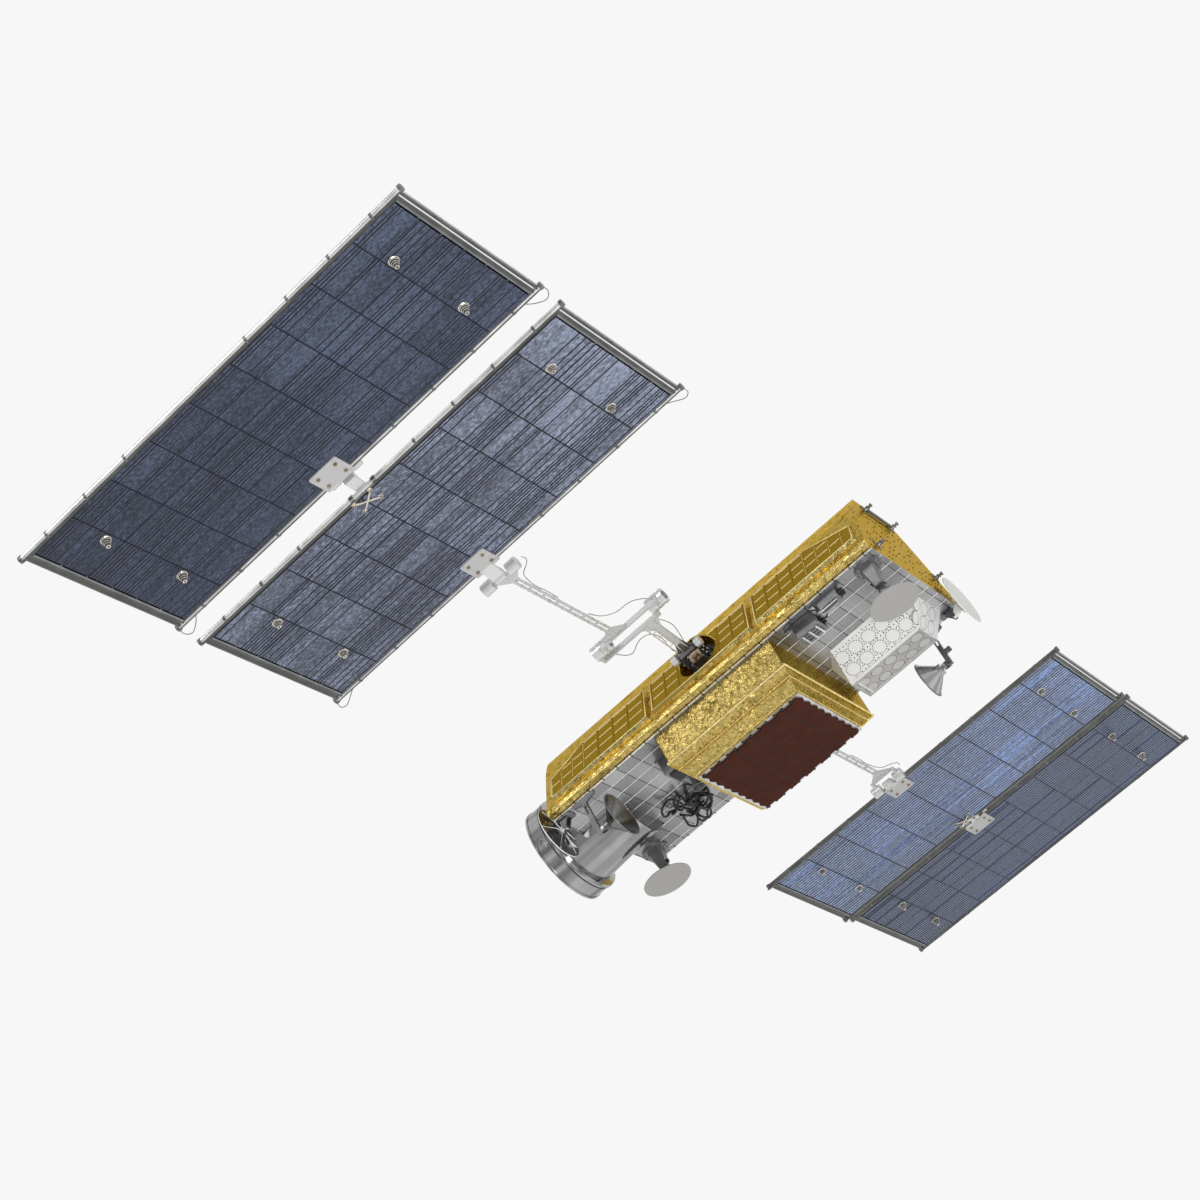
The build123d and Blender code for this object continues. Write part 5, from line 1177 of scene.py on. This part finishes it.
# name of the piece, what makes it, finish
PANEL_TRIM = (
    ("turrets", turrets, warm_metal),
    ("turret_bands", turret_bands, black_metal),
    ("plate_screws", plate_screws, brass),
    ("edge_strips", edge_strips, grey_metal),
    ("edge_ticks", edge_ticks, light_metal),
    ("rail_clips", rail_clips, dark_metal),
)
for side, hand in HANDS:
    for panel, (y0, y1, mid) in RAILS.items():
        plate_x, plate_w = PLATES[panel]
        for name, build, finish in PANEL_TRIM:
            piece(f"{name}_{panel}_{hand}", f"{panel}_wing_{hand}",
                  lambda bm: build(bm, side, panel), finish)
        paint(f"panel_{panel}_{hand}", plate_metal,
              lambda c, n: abs(c.x - plate_x) < plate_w / 2 + 0.002
              and y0 + PLATE_REACH[0] - 0.002 < side * c.y < y0 + PLATE_REACH[1] + 0.002
              and c.z < mid - BOARD_T / 2 - 0.0005)
        # painted highlight: the outward sides of the rails are light metal, standing in for their lit
        # sides
        paint(f"panel_{panel}_{hand}", light_metal,
              lambda c, n: min(abs(side * c.y - y0), abs(side * c.y - y1)) < 0.0165
              and abs(c.z - mid) < 0.0165 and side * n.y > 0.35)
    # hinge drums and arms of the panel and tip hinges
    paint(f"panel_inner_{hand}", bright_metal,
          lambda c, n: abs(c.y) < 2.335 or (side * c.y > 3.475 and abs(c.x + 0.094) < 0.12))
    paint(f"panel_outer_{hand}", bright_metal, lambda c, n: abs(c.y) < 3.584)
    # crossed brace in warm metal
    paint(f"panel_inner_{hand}", warm_metal,
          lambda c, n: abs(c.x - BRACE_X) < 0.075 and abs(side * c.y - BRACE_Y) < 0.060
          and c.z < -BOARD_T / 2 - 0.0005)
    for panel, points in CORNER_ARCS:
        for way, end in ENDS:
            wire(f"corner_arc_{panel}_{end}_{hand}", f"{panel}_wing_{hand}",
                 [(way * x, side * y, z) for x, y, z in points], ARC_R, dark_metal)
pair("brace_feet", "inner_wing", brace_feet, warm_metal)
pair("brace_holes", "inner_wing", brace_holes, black_metal)

# --- world, lamps and floor
FLOOR_Z, FLOOR_HALF = CAMERA_AT[2] - 0.05, 60.0
FLOOR_GLOW, FLOOR_MATT = 0.895, 0.06
BACKGROUND = 0.93
ROOM_SHARE = 0.3                 # how much of the plain background metal shows in place of the zones
ROOM_BRIGHT_SIDE = (0.0, 0.6, -0.8)
# name, place, size in metres, watts
LAMPS = (
    ("key", (-3.0, -11.0, 3.0), 4.0, 260.0),
    ("fill", (3.8, -6.6, -6.6), 4.0, 400.0),
)


def grey(tone):
    return (tone, tone, tone, 1.0)


def mixed_shader(tree, share, first, second, output):
    """Sends two shaders to the output: share is how much of the second shows."""
    mixer = add(tree, "MixShader", in_0=share, in_1=first.outputs[0], in_2=second.outputs[0])
    tree.links.new(mixer.outputs[0], tree.nodes.new(output).inputs["Surface"])


def studio():
    """Plain pale background; metal also sees soft, broad lighter and darker zones round about."""
    world = bpy.data.worlds.new("studio")
    bpy.context.scene.world = world
    world.use_nodes = True
    tree = world.node_tree
    tree.nodes.clear()
    plain = add(tree, "Background", in_Color=grey(BACKGROUND))
    way = add(tree, "TexCoord").outputs["Generated"]
    zones = mul_add(tree, dot_product(tree, way, ROOM_BRIGHT_SIDE), 0.07,
                  noise(tree, way, 2.2, 2.0, 0.5, 0.3))
    tone = ramp(tree, zones, [(0.34, (0.06, 0.06, 0.065)), (0.48, (0.50, 0.51, 0.53)),
                              (0.66, (1.25, 1.25, 1.22))])
    room = add(tree, "Background", in_Color=tone)
    path = add(tree, "LightPath").outputs
    shiny = larger(tree, path["Is Glossy Ray"], path["Is Transmission Ray"])
    seen = larger(tree, path["Is Camera Ray"], times(tree, shiny, ROOM_SHARE))
    mixed_shader(tree, seen, room, plain, "ShaderNodeOutputWorld")


def lamp(name, place, size, power):
    """Square lamp that points at the middle of the craft."""
    data = bpy.data.lights.new(name, "AREA")
    data.size = size
    data.energy = power
    thing = linked(name, data)
    thing.location = place
    thing.rotation_euler = (-Vector(place)).to_track_quat("-Z", "Y").to_euler()


def floor():
    """Plain pale floor far below, at the height of the camera; from underneath it isn't seen."""
    mesh = bpy.data.meshes.new("floor")
    bm = bmesh.new()
    bmesh.ops.create_grid(bm, x_segments=1, y_segments=1, size=FLOOR_HALF,
                          matrix=Matrix.Translation((0, 0, FLOOR_Z)))
    bm.to_mesh(mesh)
    bm.free()
    material = bpy.data.materials.new("floor")
    material.use_nodes = True
    tree = material.node_tree
    tree.nodes.clear()
    glow = add(tree, "Emission", in_Color=grey(FLOOR_GLOW))
    matt = add(tree, "BsdfDiffuse", in_Color=grey(FLOOR_MATT))
    pale = add(tree, "AddShader", in_0=glow.outputs[0], in_1=matt.outputs[0])
    above = maths(tree, "SUBTRACT", 1.0, add(tree, "NewGeometry").outputs["Backfacing"])
    seen = times(tree, add(tree, "LightPath").outputs["Is Camera Ray"], above)
    mixed_shader(tree, seen, add(tree, "BsdfTransparent"), pale, "ShaderNodeOutputMaterial")
    mesh.materials.append(material)
    thing = linked("floor", mesh)


studio()
floor()
for name, place, size, power in LAMPS:
    lamp(name, place, size, power)

bpy.context.scene.view_settings.view_transform = "Standard"
